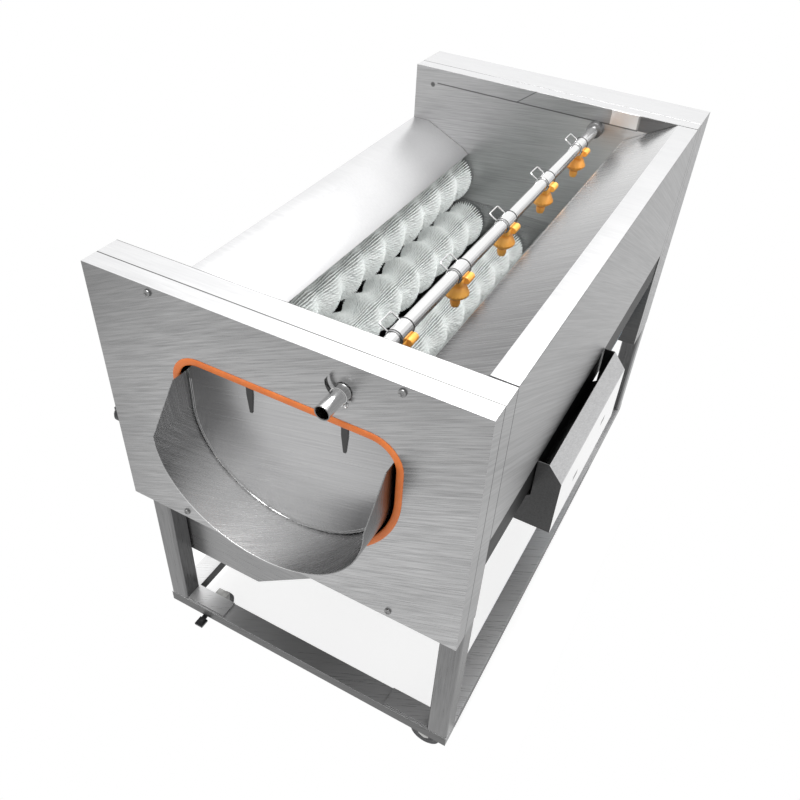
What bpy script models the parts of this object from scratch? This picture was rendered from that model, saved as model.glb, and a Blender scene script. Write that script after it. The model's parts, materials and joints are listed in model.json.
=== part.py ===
# Roller vegetable washer: a stainless frame on casters, two end boxes, a hopper and spiral brush rollers
# Lengths are in metres. X runs across the machine, Y from the discharge end to the drive end, Z up.
import math

import bmesh
import bpy
from mathutils import Matrix, Vector

for old in list(bpy.data.objects):
    bpy.data.objects.remove(old, do_unlink=True)

# Fits and shares
gap = 0.0003
overrun = 0.004
sheet = 0.002
half_share = 0.5
round_sides = 20
small_sides = 12
wire_sides = 6
smooth_angle = math.radians(35)
quarter_turn = math.radians(90)

# Main body
body_width = 0.760
body_top = 1.084
body_length = 1.355
box_bottom = 0.518
cover_depth = 0.037
front_box_depth = 0.048
rear_box_depth = 0.038
rear_cover_depth = 0.099
housing_below_drive = 0.090

# Frame
caster_height = 0.090
tube = 0.048
tube_corner = 0.004
rail_height = 0.030
upper_tube = 0.044
panel_bottom = 0.740

# Feed side and hopper plates
feed_height = 0.940
feed_slope_run = 0.113
feed_slope_drop = 0.053
feed_lip_run = 0.016
feed_lip_drop = 0.013
wall_knee_run = 0.122
wall_knee_drop = 0.067
wall_foot_x = 0.018
wall_foot_height = 0.648

# Drain hopper
drain_floor_height = 0.266
drain_left_inset = 0.026
drain_floor_width = 0.210
drain_slope_height = 0.664
drain_pipe_radius = 0.024
drain_pipe_length = 0.040
drain_pipe_from_front = 0.240

# Discharge outlet
outlet_centre_x = 0.019
outlet_centre_drop = 0.244
chute_half_width = 0.211
chute_drop = 0.194
chute_reach = 0.089
chute_lip_rise = 0.003
chute_below_top = 0.039
chute_shoulder_reach = 0.024
opening_margin = 0.012
opening_rise = 0.121
opening_corner = 0.055
trim_width = 0.014
trim_thickness = 0.008
trim_bite = 0.007
outlet_steps = 12
corner_steps = 5

# Discharge gate
gate_hinge_drop = 0.001
gate_clearance = 0.003
gate_thickness = 0.002
gate_corner = 0.060
hinge_rod_radius = 0.003
screw_head_radius = 0.006
screw_head_height = 0.0035
screw_from_side = 0.143
screw_below_top = 0.013
screw_above_bottom = 0.019
hinge_knuckle_radius = 0.0055
strap_spacing = 0.187
strap_offset_x = 0.020
strap_top_width = 0.013
strap_tip_width = 0.005
strap_length = 0.074
strap_thickness = 0.003

# Brush rollers
bed_centre_x = -0.0727
bed_centre_height = 0.7948
roller_pitch = 0.1402
bed_radius_share = 1.1954
last_roller_angle = math.radians(-84.27)
roller_count = 3
shaft_radius = 0.010
shaft_fit = 0.0005
brush_end_gap = 0.006
pile_radius = 0.046
pile_sides = 10
pile_steps = 5
strand_count = 112
strand_radius = 0.0040
strand_height = 0.012
strand_root = 0.020
lobe_wave = 0.008
lobe_pitch = 0.100

# Bearings and drive
bearing_radius = 0.021
bearing_length = 0.018
bearing_foot = 0.005
link_width = 0.022
shaft_hole_radius = 0.014
sprocket_radius = 0.034
sprocket_tooth = 0.005
tooth_shares = ((-0.36, 0), (-0.14, 1), (0.14, 1), (0.36, 0))
sprocket_width = 0.006
sprocket_hub_radius = 0.017
sprocket_hub_length = 0.020
sprocket_from_wall = 0.040
sprocket_teeth = 14
drive_teeth = 11
drive_x = 0.300
gearbox_clearance = 0.0056
chain_thickness = 0.009
chain_width = 0.014
chain_steps = 7
motor_radius = 0.050
motor_length = 0.170
gearbox_side = 0.084
gearbox_corner = 0.007
gearbox_length = 0.085
fan_cowl_radius = 0.047
fan_cowl_length = 0.030
terminal_box_side = 0.060
terminal_box_height = 0.018

# Spray pipe and nozzles
pipe_x = 0.137
pipe_below_top = 0.055
pipe_radius = 0.0135
pipe_wall = 0.002
pipe_reach = 0.060
socket_radius = 0.020
socket_length = 0.022
clamp_radius = 0.0175
clamp_width = 0.013
clamp_from_front = 0.0455
clamp_screw_radius = 0.0045
clamp_screw_length = 0.026
nozzle_count = 5
nozzle_front_margin = 0.095
nozzle_rear_margin = 0.136
clip_radius = 0.0165
clip_length = 0.046
bail_wire_radius = 0.0017
bail_reach = 0.0205
bail_width = 0.042
bail_tilt = math.radians(31)
nozzle_neck_radius = 0.0125
nozzle_shoulder_radius = 0.0185
nozzle_nut_radius = 0.024
nozzle_rim_height = 0.006
nozzle_foot_height = 0.008
nozzle_nut_length = 0.026
nozzle_cap_radius = 0.0155
nozzle_body_drop = 0.056
ball_radius = 0.0095
ball_fit = 0.0010
ball_steps = 4
ball_depth_share = 0.75
ball_low_share = -0.88
ball_high_share = 0.94
tip_neck_radius = 0.0045
tip_neck_length = 0.0046
tip_radius = 0.010
tip_end_radius = 0.0075
tip_barrel_length = 0.013
tip_drop = 0.076
nozzle_bore_radius = 0.0025
saddle_ear = 0.006
saddle_length = 0.038
boss_radius = 0.008
boss_length = 0.025
boss_side = 0.019
boss_drop = 0.012

# Side trough
trough_front = 0.313
trough_length = 0.420
trough_ridge_x = 0.404
trough_outer_x = 0.435
trough_shoulder_height = 0.702
trough_bottom = 0.562
trough_floor_inset = 0.020
trough_floor_width = 0.120

# Switch on the left of the front cover
switch_height = 0.722
switch_radius = 0.016
switch_base_radius = 0.0165
switch_base_depth = 0.004
switch_depth = 0.020
switch_grip_width = 0.006
switch_grip_depth = 0.005

# Casters
caster_x = 0.290
caster_inset = 0.016
caster_trail = 0.030
wheel_radius = 0.0375
wheel_width = 0.024
wheel_rim_share = 0.72
wheel_hub_radius = 0.011
axle_radius = 0.004
axle_fit = 0.0004
race_radius = 0.025
race_height = 0.009
bridge_thickness = 0.003
bridge_front = 0.020
bridge_back = 0.047
cheek_thickness = 0.0025
cheek_gap = 0.0012
cheek_foot = 0.010
pedal_length = 0.034
pedal_width = 0.022
pedal_thickness = 0.006
pedal_drop = 0.020
pedal_lever_width = 0.012
pad_length = 0.108
pad_thickness = 0.004

# Everything below is derived from the lengths above
half_width = body_width * half_share
rear_wall_y = body_length - rear_cover_depth - rear_box_depth
front_wall_back = cover_depth + front_box_depth
first_nozzle_y = front_wall_back + nozzle_front_margin
nozzle_run = rear_wall_y - nozzle_rear_margin - first_nozzle_y
nozzle_spacing = nozzle_run / (nozzle_count - 1)
tank_front = front_wall_back + gap
tank_back = rear_wall_y - gap
rail_top = caster_height + rail_height
leg_inner_x = half_width - tube
trough_top = panel_bottom - gap
sheet_half = sheet * half_share
trim_half = trim_thickness * half_share
trim_front = sheet_half - trim_half
trim_back = sheet_half + trim_half
gate_hinge_y = trim_back + gap + hinge_knuckle_radius
outlet_centre_height = body_top - outlet_centre_drop
opening_top = outlet_centre_height + opening_rise
gate_hinge_height = opening_top - gate_hinge_drop
chute_lip_height = outlet_centre_height + chute_lip_rise
chute_end_height = opening_top - chute_below_top
pipe_height = body_top - pipe_below_top
drain_side = half_width - sheet - gap
drain_top = panel_bottom - gap
drain_left = -drain_side + drain_left_inset
slope_share = (drain_slope_height - drain_floor_height) / (drain_side - drain_left - drain_floor_width)
gearbox_half = gearbox_side * half_share
gearbox_shoulder_x = drive_x - gearbox_half + gearbox_corner
slope_over_gearbox = drain_slope_height - (drain_side - gearbox_shoulder_x) * slope_share
drive_height = slope_over_gearbox - gearbox_clearance - gearbox_half
rear_housing_bottom = drive_height - housing_below_drive
left_extent = half_width + switch_base_depth + switch_depth
right_extent = trough_outer_x
shift_x = (left_extent - right_extent) * half_share
shift_y = (chute_reach - body_length) * half_share

root = bpy.data.objects.new("root", None)
bpy.context.scene.collection.objects.link(root)
root.location = (shift_x, shift_y, 0)


def finish_of(name, colour, roughness, metallic):
    made = bpy.data.materials.new(name)
    made.use_nodes = True
    shader = made.node_tree.nodes["Principled BSDF"]
    shader.inputs["Base Color"].default_value = (*colour, 1)
    shader.inputs["Roughness"].default_value = roughness
    shader.inputs["Metallic"].default_value = metallic
    made.diffuse_color = (*colour, 1)
    return made


steel_colour = (0.60, 0.60, 0.61)
dark_steel_colour = (0.33, 0.33, 0.34)
nylon_colour = (0.82, 0.84, 0.84)
orange_colour = (0.90, 0.46, 0.12)
trim_colour = (0.83, 0.31, 0.10)
black_colour = (0.02, 0.02, 0.02)
tyre_colour = (0.30, 0.30, 0.31)
motor_colour = (0.10, 0.20, 0.28)


def steel(name, roughness=0.32):
    return finish_of(name, steel_colour, roughness, 1)


# Meshes are built from outlines, turned profiles and Booleans
def mesh_from(bm):
    bmesh.ops.recalc_face_normals(bm, faces=bm.faces)
    mesh = bpy.data.meshes.new("form")
    bm.to_mesh(mesh)
    bm.free()
    return mesh


def placed(axis, pair, along):
    first, second = pair
    if axis == "X":
        return Vector((along, first, second))
    if axis == "Y":
        return Vector((first, along, second))
    return Vector((first, second, along))


def bridge_rings(bm, rings, closed):
    count = len(rings[0])
    spans = len(rings) if closed else len(rings) - 1
    for index in range(spans):
        near = rings[index]
        far = rings[(index + 1) % len(rings)]
        for i in range(count):
            j = (i + 1) % count
            bm.faces.new((near[i], near[j], far[j], far[i]))


def prism(outline, axis, start, end, end_outline=None):
    """The outline extruded along an axis, and lofted where a second outline is given for its far end."""
    bm = bmesh.new()
    near = [bm.verts.new(placed(axis, pair, start)) for pair in outline]
    far = [bm.verts.new(placed(axis, pair, end)) for pair in end_outline or outline]
    bridge_rings(bm, [near, far], False)
    bm.faces.new(near[::-1])
    bm.faces.new(far)
    return mesh_from(bm)


def block(x_span, y_span, z_span):
    outline = [
        (x_span[0], z_span[0]),
        (x_span[1], z_span[0]),
        (x_span[1], z_span[1]),
        (x_span[0], z_span[1]),
    ]
    return prism(outline, "Y", y_span[0], y_span[1])


def circle(radius, sides, centre=(0, 0), turn=0):
    step = math.tau / sides
    return [
        (centre[0] + radius * math.cos(turn + i * step), centre[1] + radius * math.sin(turn + i * step))
        for i in range(sides)
    ]


def rod(radius, axis, centre, start, end, sides=small_sides):
    return prism(circle(radius, sides, centre), axis, start, end)


def turned(profile, axis, centre, sides, bored=False):
    """A profile of (radius, along) pairs turned about an axis. A bored profile is a closed loop."""
    bm = bmesh.new()
    rings = []
    for radius, along in profile:
        rings.append([bm.verts.new(placed(axis, pair, along)) for pair in circle(radius, sides, centre)])
    bridge_rings(bm, rings, bored)
    if not bored:
        bm.faces.new(rings[0][::-1])
        bm.faces.new(rings[-1])
    return mesh_from(bm)


def tube_of(outer, inner, axis, centre, start, end, sides=round_sides):
    return turned([(outer, start), (outer, end), (inner, end), (inner, start)], axis, centre, sides, True)


def chamfered(first_span, second_span, corner):
    (a0, a1), (b0, b1) = first_span, second_span
    return [
        (a0 + corner, b0),
        (a1 - corner, b0),
        (a1, b0 + corner),
        (a1, b1 - corner),
        (a1 - corner, b1),
        (a0 + corner, b1),
        (a0, b1 - corner),
        (a0, b0 + corner),
    ]


def folded(path, thickness):
    """The outline of a bent sheet: a path and the same path set over to its left by the thickness."""
    points = [Vector(point) for point in path]
    directions = [(b - a).normalized() for a, b in zip(points, points[1:])]
    sides = [Vector((-d.y, d.x)) for d in directions]
    offset = []
    for index, point in enumerate(points):
        before = sides[max(index - 1, 0)]
        after = sides[min(index, len(sides) - 1)]
        mean = (before + after).normalized()
        offset.append(point + mean * (thickness / mean.dot(before)))
    return [tuple(point) for point in points] + [tuple(point) for point in reversed(offset)]


def combined(base, tools, operation):
    """The base mesh after each tool mesh is joined to it or cut from it."""
    collection = bpy.context.scene.collection
    carrier = bpy.data.objects.new("carrier", base)
    collection.objects.link(carrier)
    helpers = []
    for tool in tools:
        helper = bpy.data.objects.new("helper", tool)
        collection.objects.link(helper)
        modifier = carrier.modifiers.new("shape", "BOOLEAN")
        modifier.operation = operation
        modifier.solver = "EXACT"
        modifier.object = helper
        helpers.append(helper)
    graph = bpy.context.evaluated_depsgraph_get()
    result = bpy.data.meshes.new_from_object(carrier.evaluated_get(graph))
    for helper in helpers:
        bpy.data.objects.remove(helper, do_unlink=True)
    bpy.data.objects.remove(carrier, do_unlink=True)
    return result


def cut(base, tools):
    return combined(base, tools, "DIFFERENCE")


def join(base, tools):
    return combined(base, tools, "UNION")


def moved(mesh, offset):
    mesh.transform(Matrix.Translation(offset))
    return mesh


def node(name, mesh, finish, origin=(0, 0, 0), turn=None, smooth=False):
    """Puts a mesh in the scene under its node name. The mesh is drawn about its own origin."""
    made = bpy.data.objects.new(name, mesh)
    bpy.context.scene.collection.objects.link(made)
    made.parent = root
    made.location = origin
    if turn:
        made.rotation_euler = turn
    mesh.materials.clear()
    mesh.materials.append(finish)
    if smooth:
        for face in mesh.polygons:
            face.use_smooth = True
        mesh.set_sharp_from_angle(angle=smooth_angle)
    return made


brushed = steel("brushed_steel")
bright = steel("bright_steel", 0.18)
plain = finish_of("dark_steel", dark_steel_colour, 0.4, 1)
nylon = finish_of("white_nylon", nylon_colour, 0.55, 0)
orange = finish_of("orange_plastic", orange_colour, 0.35, 0)
trim_finish = finish_of("orange_rubber", trim_colour, 0.6, 0)
black = finish_of("black_plastic", black_colour, 0.4, 0)
tyre = finish_of("grey_tyre", tyre_colour, 0.7, 0)
enamel = finish_of("motor_enamel", motor_colour, 0.45, 0)


# The discharge outlet is a U: straight sides over a half ellipse, with a straight top where it is closed
def u_path(half_span, drop, left_height, right_height):
    path = [(outlet_centre_x - half_span, left_height)]
    for i in range(outlet_steps + 1):
        angle = math.pi + math.pi * i / outlet_steps
        path.append(
            (
                outlet_centre_x + half_span * math.cos(angle),
                outlet_centre_height + drop * math.sin(angle),
            )
        )
    path.append((outlet_centre_x + half_span, right_height))
    return path


def outlet_outline(half_span, drop, top, corner):
    """A closed outline: half an ellipse below, straight sides, and a straight top with rounded corners."""
    outline = []
    for i in range(outlet_steps + 1):
        angle = math.pi + math.pi * i / outlet_steps
        outline.append(
            (
                outlet_centre_x + half_span * math.cos(angle),
                outlet_centre_height + drop * math.sin(angle),
            )
        )
    for side in (1, -1):
        centre = (outlet_centre_x + side * (half_span - corner), top - corner)
        arc = []
        for i in range(corner_steps + 1):
            angle = math.pi * half_share * i / corner_steps
            arc.append((centre[0] + side * corner * math.cos(angle), centre[1] + corner * math.sin(angle)))
        outline += arc if side > 0 else arc[::-1]
    return outline


def opening_outline(grown):
    """The outline of the opening in the front cover, grown outwards by a length."""
    reach = opening_margin + grown
    top = opening_top + grown
    return outlet_outline(chute_half_width + reach, chute_drop + reach, top, opening_corner + grown)


# Roller centres lie on an arc that widens with the pitch, each a pitch from the next
bed_radius = roller_pitch * bed_radius_share
roller_step = 2 * math.asin(half_share / bed_radius_share)


def roller_centre(index):
    angle = last_roller_angle - roller_step * (roller_count - 1 - index)
    return (
        bed_centre_x + bed_radius * math.cos(angle),
        bed_centre_height + bed_radius * math.sin(angle),
    )


centres = [roller_centre(index) for index in range(roller_count)]
drive_centre = (drive_x, drive_height)


# Frame: four legs on a ring of flat rails, and two upper rails
def leg(name, side, y_span, top):
    outer = side * half_width
    inner = side * leg_inner_x
    x_span = (min(outer, inner), max(outer, inner))
    mesh = prism(chamfered(x_span, y_span, tube_corner), "Z", rail_top + gap, top)
    node(name, mesh, brushed)


front_leg_span = (cover_depth, cover_depth + tube)
rear_leg_span = (body_length - sheet - tube, body_length - sheet)
leg("leg_front_left", -1, front_leg_span, box_bottom - gap)
leg("leg_front_right", 1, front_leg_span, box_bottom - gap)
leg("leg_rear_left", -1, rear_leg_span, rear_housing_bottom - gap)
leg("leg_rear_right", 1, rear_leg_span, rear_housing_bottom - gap)

ring_back = body_length - sheet
ring = block((-half_width, half_width), (cover_depth, ring_back), (caster_height, rail_top))
ring_hole = block(
    (-leg_inner_x, leg_inner_x),
    (cover_depth + tube, ring_back - tube),
    (caster_height - overrun, rail_top + overrun),
)
ring = cut(ring, [ring_hole])
pads = []
front_pad_span = (cover_depth + tube_corner, cover_depth + tube)
rear_pad_span = (ring_back - tube, ring_back - tube_corner)
for side in (-1, 1):
    for y_span in (front_pad_span, rear_pad_span):
        near_x = leg_inner_x - gap
        far_x = leg_inner_x - pad_length
        x_span = (min(side * near_x, side * far_x), max(side * near_x, side * far_x))
        pads.append(block(x_span, y_span, (rail_top - pad_thickness, rail_top + pad_thickness)))
node("base_ring", join(ring, pads), brushed)

upper_outer = half_width - sheet - gap
upper_inner = upper_outer - upper_tube
right_rail_top = body_top - sheet - gap
left_rail_top = feed_height - sheet - gap
for name, side, top in (("upper_rail_right", 1, right_rail_top), ("upper_rail_left", -1, left_rail_top)):
    x_span = (upper_inner, upper_outer) if side > 0 else (-upper_outer, -upper_inner)
    outline = chamfered(x_span, (top - upper_tube, top), tube_corner)
    node(name, prism(outline, "Y", tank_front, tank_back), brushed)


# End boxes: folded pans whose covers close them
def pan(y_span, floor_y_span, bottom):
    outer = block((-half_width, half_width), y_span, (bottom, body_top))
    hollow = block(
        (-half_width + sheet, half_width - sheet),
        floor_y_span,
        (bottom + sheet, body_top - sheet),
    )
    return cut(outer, [hollow])


def passage(radius, centre, y_span, sides=small_sides):
    return rod(radius, "Y", centre, y_span[0], y_span[1], sides)


pipe_centre = (pipe_x, pipe_height)
front_cover = pan((0, cover_depth - gap), (sheet, cover_depth), box_bottom)
front_cutters = [
    prism(opening_outline(0), "Y", -overrun, sheet + overrun),
    passage(pipe_radius + gap, pipe_centre, (-overrun, sheet + overrun), round_sides),
]
rod_half = half_width - sheet * half_share
rod_centre = (gate_hinge_y, gate_hinge_height)
hinge_rod = rod(hinge_rod_radius, "X", rod_centre, -rod_half, rod_half, small_sides)
screw_heads = []
screw_side = half_width - screw_from_side
for screw_x in (-screw_side, screw_side):
    for screw_z in (box_bottom + screw_above_bottom, body_top - screw_below_top):
        screw_centre = (screw_x, screw_z)
        screw_y_span = (-screw_head_height, sheet * half_share)
        screw_heads.append(passage(screw_head_radius, screw_centre, screw_y_span))
node("front_cover", join(cut(front_cover, front_cutters), [hinge_rod, *screw_heads]), brushed)

wall_y_span = (front_wall_back - sheet - overrun, front_wall_back + overrun)
front_box = pan(
    (cover_depth, front_wall_back),
    (cover_depth - overrun, front_wall_back - sheet),
    box_bottom,
)
outlet_hole = u_path(chute_half_width + sheet + gap, chute_drop + sheet + gap, opening_top, opening_top)
box_cutters = [prism(outlet_hole, "Y", wall_y_span[0], wall_y_span[1])]
box_cutters.append(passage(pipe_radius + gap, pipe_centre, wall_y_span, round_sides))
for centre in centres:
    box_cutters.append(passage(shaft_hole_radius, centre, wall_y_span))
node("front_box", cut(front_box, box_cutters), brushed)

rear_wall_span = (rear_wall_y - overrun, rear_wall_y + sheet + overrun)
rear_seam_y = rear_wall_y + rear_box_depth
rear_box = pan(
    (rear_wall_y, rear_seam_y),
    (rear_wall_y + sheet, rear_seam_y + overrun),
    rear_housing_bottom,
)
rear_cutters = [passage(shaft_hole_radius, centre, rear_wall_span) for centre in (*centres, drive_centre)]
node("rear_box", cut(rear_box, rear_cutters), brushed)
rear_cover = pan(
    (rear_seam_y + gap, body_length),
    (rear_seam_y - overrun, body_length - sheet),
    rear_housing_bottom,
)
node("rear_cover", rear_cover, brushed)


# Side panels, the feed plate and the folded hopper wall
def side_panel(name, side, top):
    outer = side * half_width
    inner = side * (half_width - sheet)
    x_span = (min(outer, inner), max(outer, inner))
    node(name, block(x_span, (tank_front, tank_back), (panel_bottom, top)), brushed)


side_panel("side_panel_left", -1, left_rail_top)
side_panel("side_panel_right", 1, right_rail_top)

feed_edge = -half_width
feed_fold = -upper_inner
feed_path = [
    (feed_edge, left_rail_top + gap),
    (feed_fold, left_rail_top + gap),
    (feed_fold + feed_slope_run, left_rail_top + gap - feed_slope_drop),
    (feed_fold + feed_slope_run + feed_lip_run, left_rail_top + gap - feed_slope_drop - feed_lip_drop),
]
node("feed_plate", prism(folded(feed_path, sheet), "Y", tank_front, tank_back), brushed)

knee_x = upper_inner - wall_knee_run
knee_height = right_rail_top + gap - wall_knee_drop
wall_path = [
    (wall_foot_x, wall_foot_height),
    (knee_x, knee_height),
    (upper_inner, right_rail_top + gap),
    (half_width, right_rail_top + gap),
]
wall_inset = sheet + gap
hopper_wall = prism(folded(wall_path, sheet), "Y", tank_front + wall_inset, tank_back - wall_inset)
node("hopper_wall", hopper_wall, brushed)

# Drain hopper under the rollers, open at the top
def drain_outline(inset):
    slope = math.atan(slope_share)
    lean = math.atan2(drain_left_inset, drain_top - drain_floor_height)
    floor = drain_floor_height + inset
    shift = inset * math.tan(slope * half_share)
    left_shift = inset / math.cos(lean)
    return [
        (-drain_side + left_shift, drain_top + (overrun if inset else 0)),
        (drain_left + left_shift, floor),
        (drain_left + drain_floor_width - shift, floor),
        (drain_side - inset, drain_slope_height + inset / math.cos(slope) - inset * math.tan(slope)),
        (drain_side - inset, drain_top + (overrun if inset else 0)),
    ]


drain_shell = prism(drain_outline(0), "Y", tank_front, tank_back)
drain_inside = prism(drain_outline(sheet), "Y", tank_front + sheet, tank_back - sheet)
drain = cut(drain_shell, [drain_inside])
drain_pipe_centre = (drain_left + drain_floor_width * half_share, tank_front + drain_pipe_from_front)
drain_stub = rod(
    drain_pipe_radius,
    "Z",
    drain_pipe_centre,
    drain_floor_height - drain_pipe_length,
    drain_floor_height + sheet * half_share,
    round_sides,
)
drain_bore = rod(
    drain_pipe_radius - sheet,
    "Z",
    drain_pipe_centre,
    drain_floor_height - drain_pipe_length - overrun,
    drain_floor_height + sheet + overrun,
    round_sides,
)
shaft_passages = [
    passage(shaft_hole_radius, centre, (tank_front - overrun, tank_back + overrun)) for centre in centres
]
node("drain_hopper", cut(join(drain, [drain_stub]), [drain_bore, *shaft_passages]), brushed)

# Discharge chute: one bent sheet through the cover and the box, its upper edges cut on a slant at the lip
chute_sections = [
    (-chute_reach, chute_lip_height),
    (-chute_shoulder_reach, chute_end_height),
    (front_wall_back - gap, chute_end_height),
]


def rolled_chute():
    bm = bmesh.new()
    rings = []
    for along, height in chute_sections:
        outline = folded(u_path(chute_half_width, chute_drop, height, height), -sheet)
        rings.append([bm.verts.new((x, along, z)) for x, z in outline])
    bridge_rings(bm, rings, False)
    bm.faces.new(rings[0][::-1])
    bm.faces.new(rings[-1])
    return mesh_from(bm)


node("discharge_chute", rolled_chute(), brushed, smooth=True)


# Rubber trim on the edge of the opening: a U section swept round the outline
def swept_loop(section):
    """Sweeps (growth, along) pairs round the opening outline."""
    bm = bmesh.new()
    rings = []
    for growth, along in section:
        rings.append([bm.verts.new(placed("Y", pair, along)) for pair in opening_outline(growth)])
    bridge_rings(bm, rings, True)
    return mesh_from(bm)


trim_out = trim_bite
trim_in = trim_bite - trim_width
trim_section = [
    (trim_in, trim_front + sheet_half),
    (0, trim_front),
    (trim_out, trim_front + sheet_half),
    (trim_out, -gap),
    (-gap, -gap),
    (-gap, sheet + gap),
    (trim_out, sheet + gap),
    (trim_out, trim_back),
    (trim_in, trim_back),
]
node("opening_trim", swept_loop(trim_section), trim_finish, smooth=True)

# Discharge gate: a plate that follows the chute, hung from a rod behind the top of the opening
gate_half = chute_half_width - gate_clearance
gate_origin = (outlet_centre_x, gate_hinge_y, gate_hinge_height)
gate_outline = [
    (x - outlet_centre_x, z - gate_hinge_height)
    for x, z in outlet_outline(gate_half, chute_drop - gate_clearance, gate_hinge_height, gate_corner)
]
gate_plate = prism(gate_outline, "Y", hinge_rod_radius, hinge_rod_radius + gate_thickness)
knuckle_start = gate_corner - gate_half
knuckle = rod(hinge_knuckle_radius, "X", (0, 0), knuckle_start, -knuckle_start, small_sides)
knuckle_bore = rod(
    hinge_rod_radius + gap,
    "X",
    (0, 0),
    knuckle_start - overrun,
    -knuckle_start + overrun,
    small_sides,
)


def gate_strap(side):
    """A tapered strap hinge, flat on the front of the plate and round the knuckle at its top."""
    face = hinge_rod_radius + sheet * half_share
    half_top = strap_top_width * half_share
    half_tip = strap_tip_width * half_share
    outline = [
        (-half_tip, -strap_length),
        (half_tip, -strap_length),
        (half_top, -strap_length * half_share),
        (half_top, 0),
        (-half_top, 0),
        (-half_top, -strap_length * half_share),
    ]
    mesh = prism(outline, "Y", face - strap_thickness, face)
    return moved(mesh, (strap_offset_x + side * strap_spacing * half_share, 0, 0))


gate = cut(join(gate_plate, [knuckle, gate_strap(-1), gate_strap(1)]), [knuckle_bore])
node("discharge_gate", gate, brushed, gate_origin)


# Brush rollers: a bored core whose dense pile winds round it as a helical lobe, with strands on it
brush_start = front_wall_back + brush_end_gap
brush_end = rear_wall_y - brush_end_gap
brush_length = brush_end - brush_start
golden_angle = math.pi * (3 - math.sqrt(5))


def pile_reach(angle, along):
    """The pile is a round of pile_radius, set off by lobe_wave in a direction that turns with Y."""
    return pile_radius + lobe_wave * math.cos(angle - math.tau * along / lobe_pitch)


def pile():
    bm = bmesh.new()
    count = round(brush_length / lobe_pitch * pile_steps)
    rings = []
    for index in range(count + 1):
        along = brush_length * index / count
        ring = []
        for side in range(pile_sides):
            angle = math.tau * side / pile_sides
            reach = pile_reach(angle, along)
            ring.append(bm.verts.new((reach * math.cos(angle), along, reach * math.sin(angle))))
        rings.append(ring)
    bridge_rings(bm, rings, False)
    bm.faces.new(rings[0][::-1])
    bm.faces.new(rings[-1])
    return mesh_from(bm)


def strands():
    bm = bmesh.new()
    spacing = brush_length / (strand_count + 1)
    for index in range(strand_count):
        along = (index + 1) * spacing
        angle = index * golden_angle
        out = Vector((math.cos(angle), 0, math.sin(angle)))
        aside = Vector((-math.sin(angle), 0, math.cos(angle)))
        foot = out * strand_root + Vector((0, along, 0))
        foot_ring = []
        for a, b in circle(strand_radius, 3):
            foot_ring.append(bm.verts.new(foot + aside * a + Vector((0, b, 0))))
        tip = bm.verts.new(foot + out * (pile_reach(angle, along) + strand_height - strand_root))
        bm.faces.new(foot_ring)
        for near, far in zip(foot_ring, foot_ring[1:] + foot_ring[:1]):
            bm.faces.new((near, far, tip))
    return mesh_from(bm)


brush_bore = rod(shaft_radius + gap, "Y", (0, 0), -overrun, brush_length + overrun)
brush = cut(join(pile(), [strands()]), [brush_bore])
for index, centre in enumerate(centres):
    origin = (centre[0], brush_start, centre[1])
    node(f"brush_{index + 1}", brush if index == 0 else brush.copy(), nylon, origin)


def sprocket_outline(teeth, radius):
    outline = []
    for tooth in range(teeth):
        middle = math.tau * tooth / teeth
        for turn_share, height in tooth_shares:
            angle = middle + turn_share * math.tau / teeth
            length = radius - sprocket_tooth + height * sprocket_tooth
            outline.append((length * math.cos(angle), length * math.sin(angle)))
    return outline


sprocket_y = rear_wall_y + sprocket_from_wall
hub_end_y = sprocket_y + sprocket_hub_length
shaft_start = front_wall_back - sheet - bearing_length
drive_radius = sprocket_radius * drive_teeth / sprocket_teeth


def sprocket_shaft(start, radius, teeth):
    """A shaft with its sprocket, drawn about its own axis, with Y as in the machine."""
    shaft = rod(shaft_radius, "Y", (0, 0), start, hub_end_y + gap, small_sides)
    hub = rod(sprocket_hub_radius, "Y", (0, 0), sprocket_y, hub_end_y, small_sides)
    disc = prism(sprocket_outline(teeth, radius), "Y", sprocket_y, sprocket_y + sprocket_width)
    return join(shaft, [hub, disc])


roller_shaft = sprocket_shaft(shaft_start, sprocket_radius, sprocket_teeth)
for index, centre in enumerate(centres):
    mesh = roller_shaft if index == 0 else roller_shaft.copy()
    node(f"roller_shaft_{index + 1}", mesh, plain, (centre[0], 0, centre[1]))

gearbox_start = tank_back - gearbox_length
gearbox_bore = shaft_radius + shaft_fit
drive_start = gearbox_start + sheet
drive_shaft = sprocket_shaft(drive_start, drive_radius, drive_teeth)
node("drive_shaft", drive_shaft, plain, (drive_x, 0, drive_height))


# Bearing plates carry the three shafts at each end
def bearing_plate(name, foot_y, face_y):
    """Bosses on a linked plate. It stands on foot_y and its bosses reach to face_y."""
    out = 1 if face_y > foot_y else -1
    bosses = [passage(bearing_radius, centre, sorted((foot_y, face_y))) for centre in centres]
    web_span = sorted((foot_y, foot_y + out * bearing_foot))
    links = []
    for near, far in zip(centres, centres[1:]):
        along = (Vector(far) - Vector(near)).normalized()
        aside = Vector((-along.y, along.x)) * link_width * half_share
        corners = [Vector(near) - aside, Vector(far) - aside, Vector(far) + aside, Vector(near) + aside]
        links.append(prism([tuple(corner) for corner in corners], "Y", web_span[0], web_span[1]))
    bore_span = (min(foot_y, face_y) - overrun, max(foot_y, face_y) + overrun)
    bores = [passage(shaft_radius + shaft_fit, centre, bore_span) for centre in centres]
    node(name, cut(join(bosses[0], [*links, *bosses[1:]]), bores), plain)


front_seat = front_wall_back - sheet - gap
rear_seat = rear_wall_y + sheet + gap
bearing_plate("front_bearing_plate", front_seat, front_seat - bearing_length)
bearing_plate("rear_bearing_plate", rear_seat, rear_seat + bearing_length)


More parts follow.
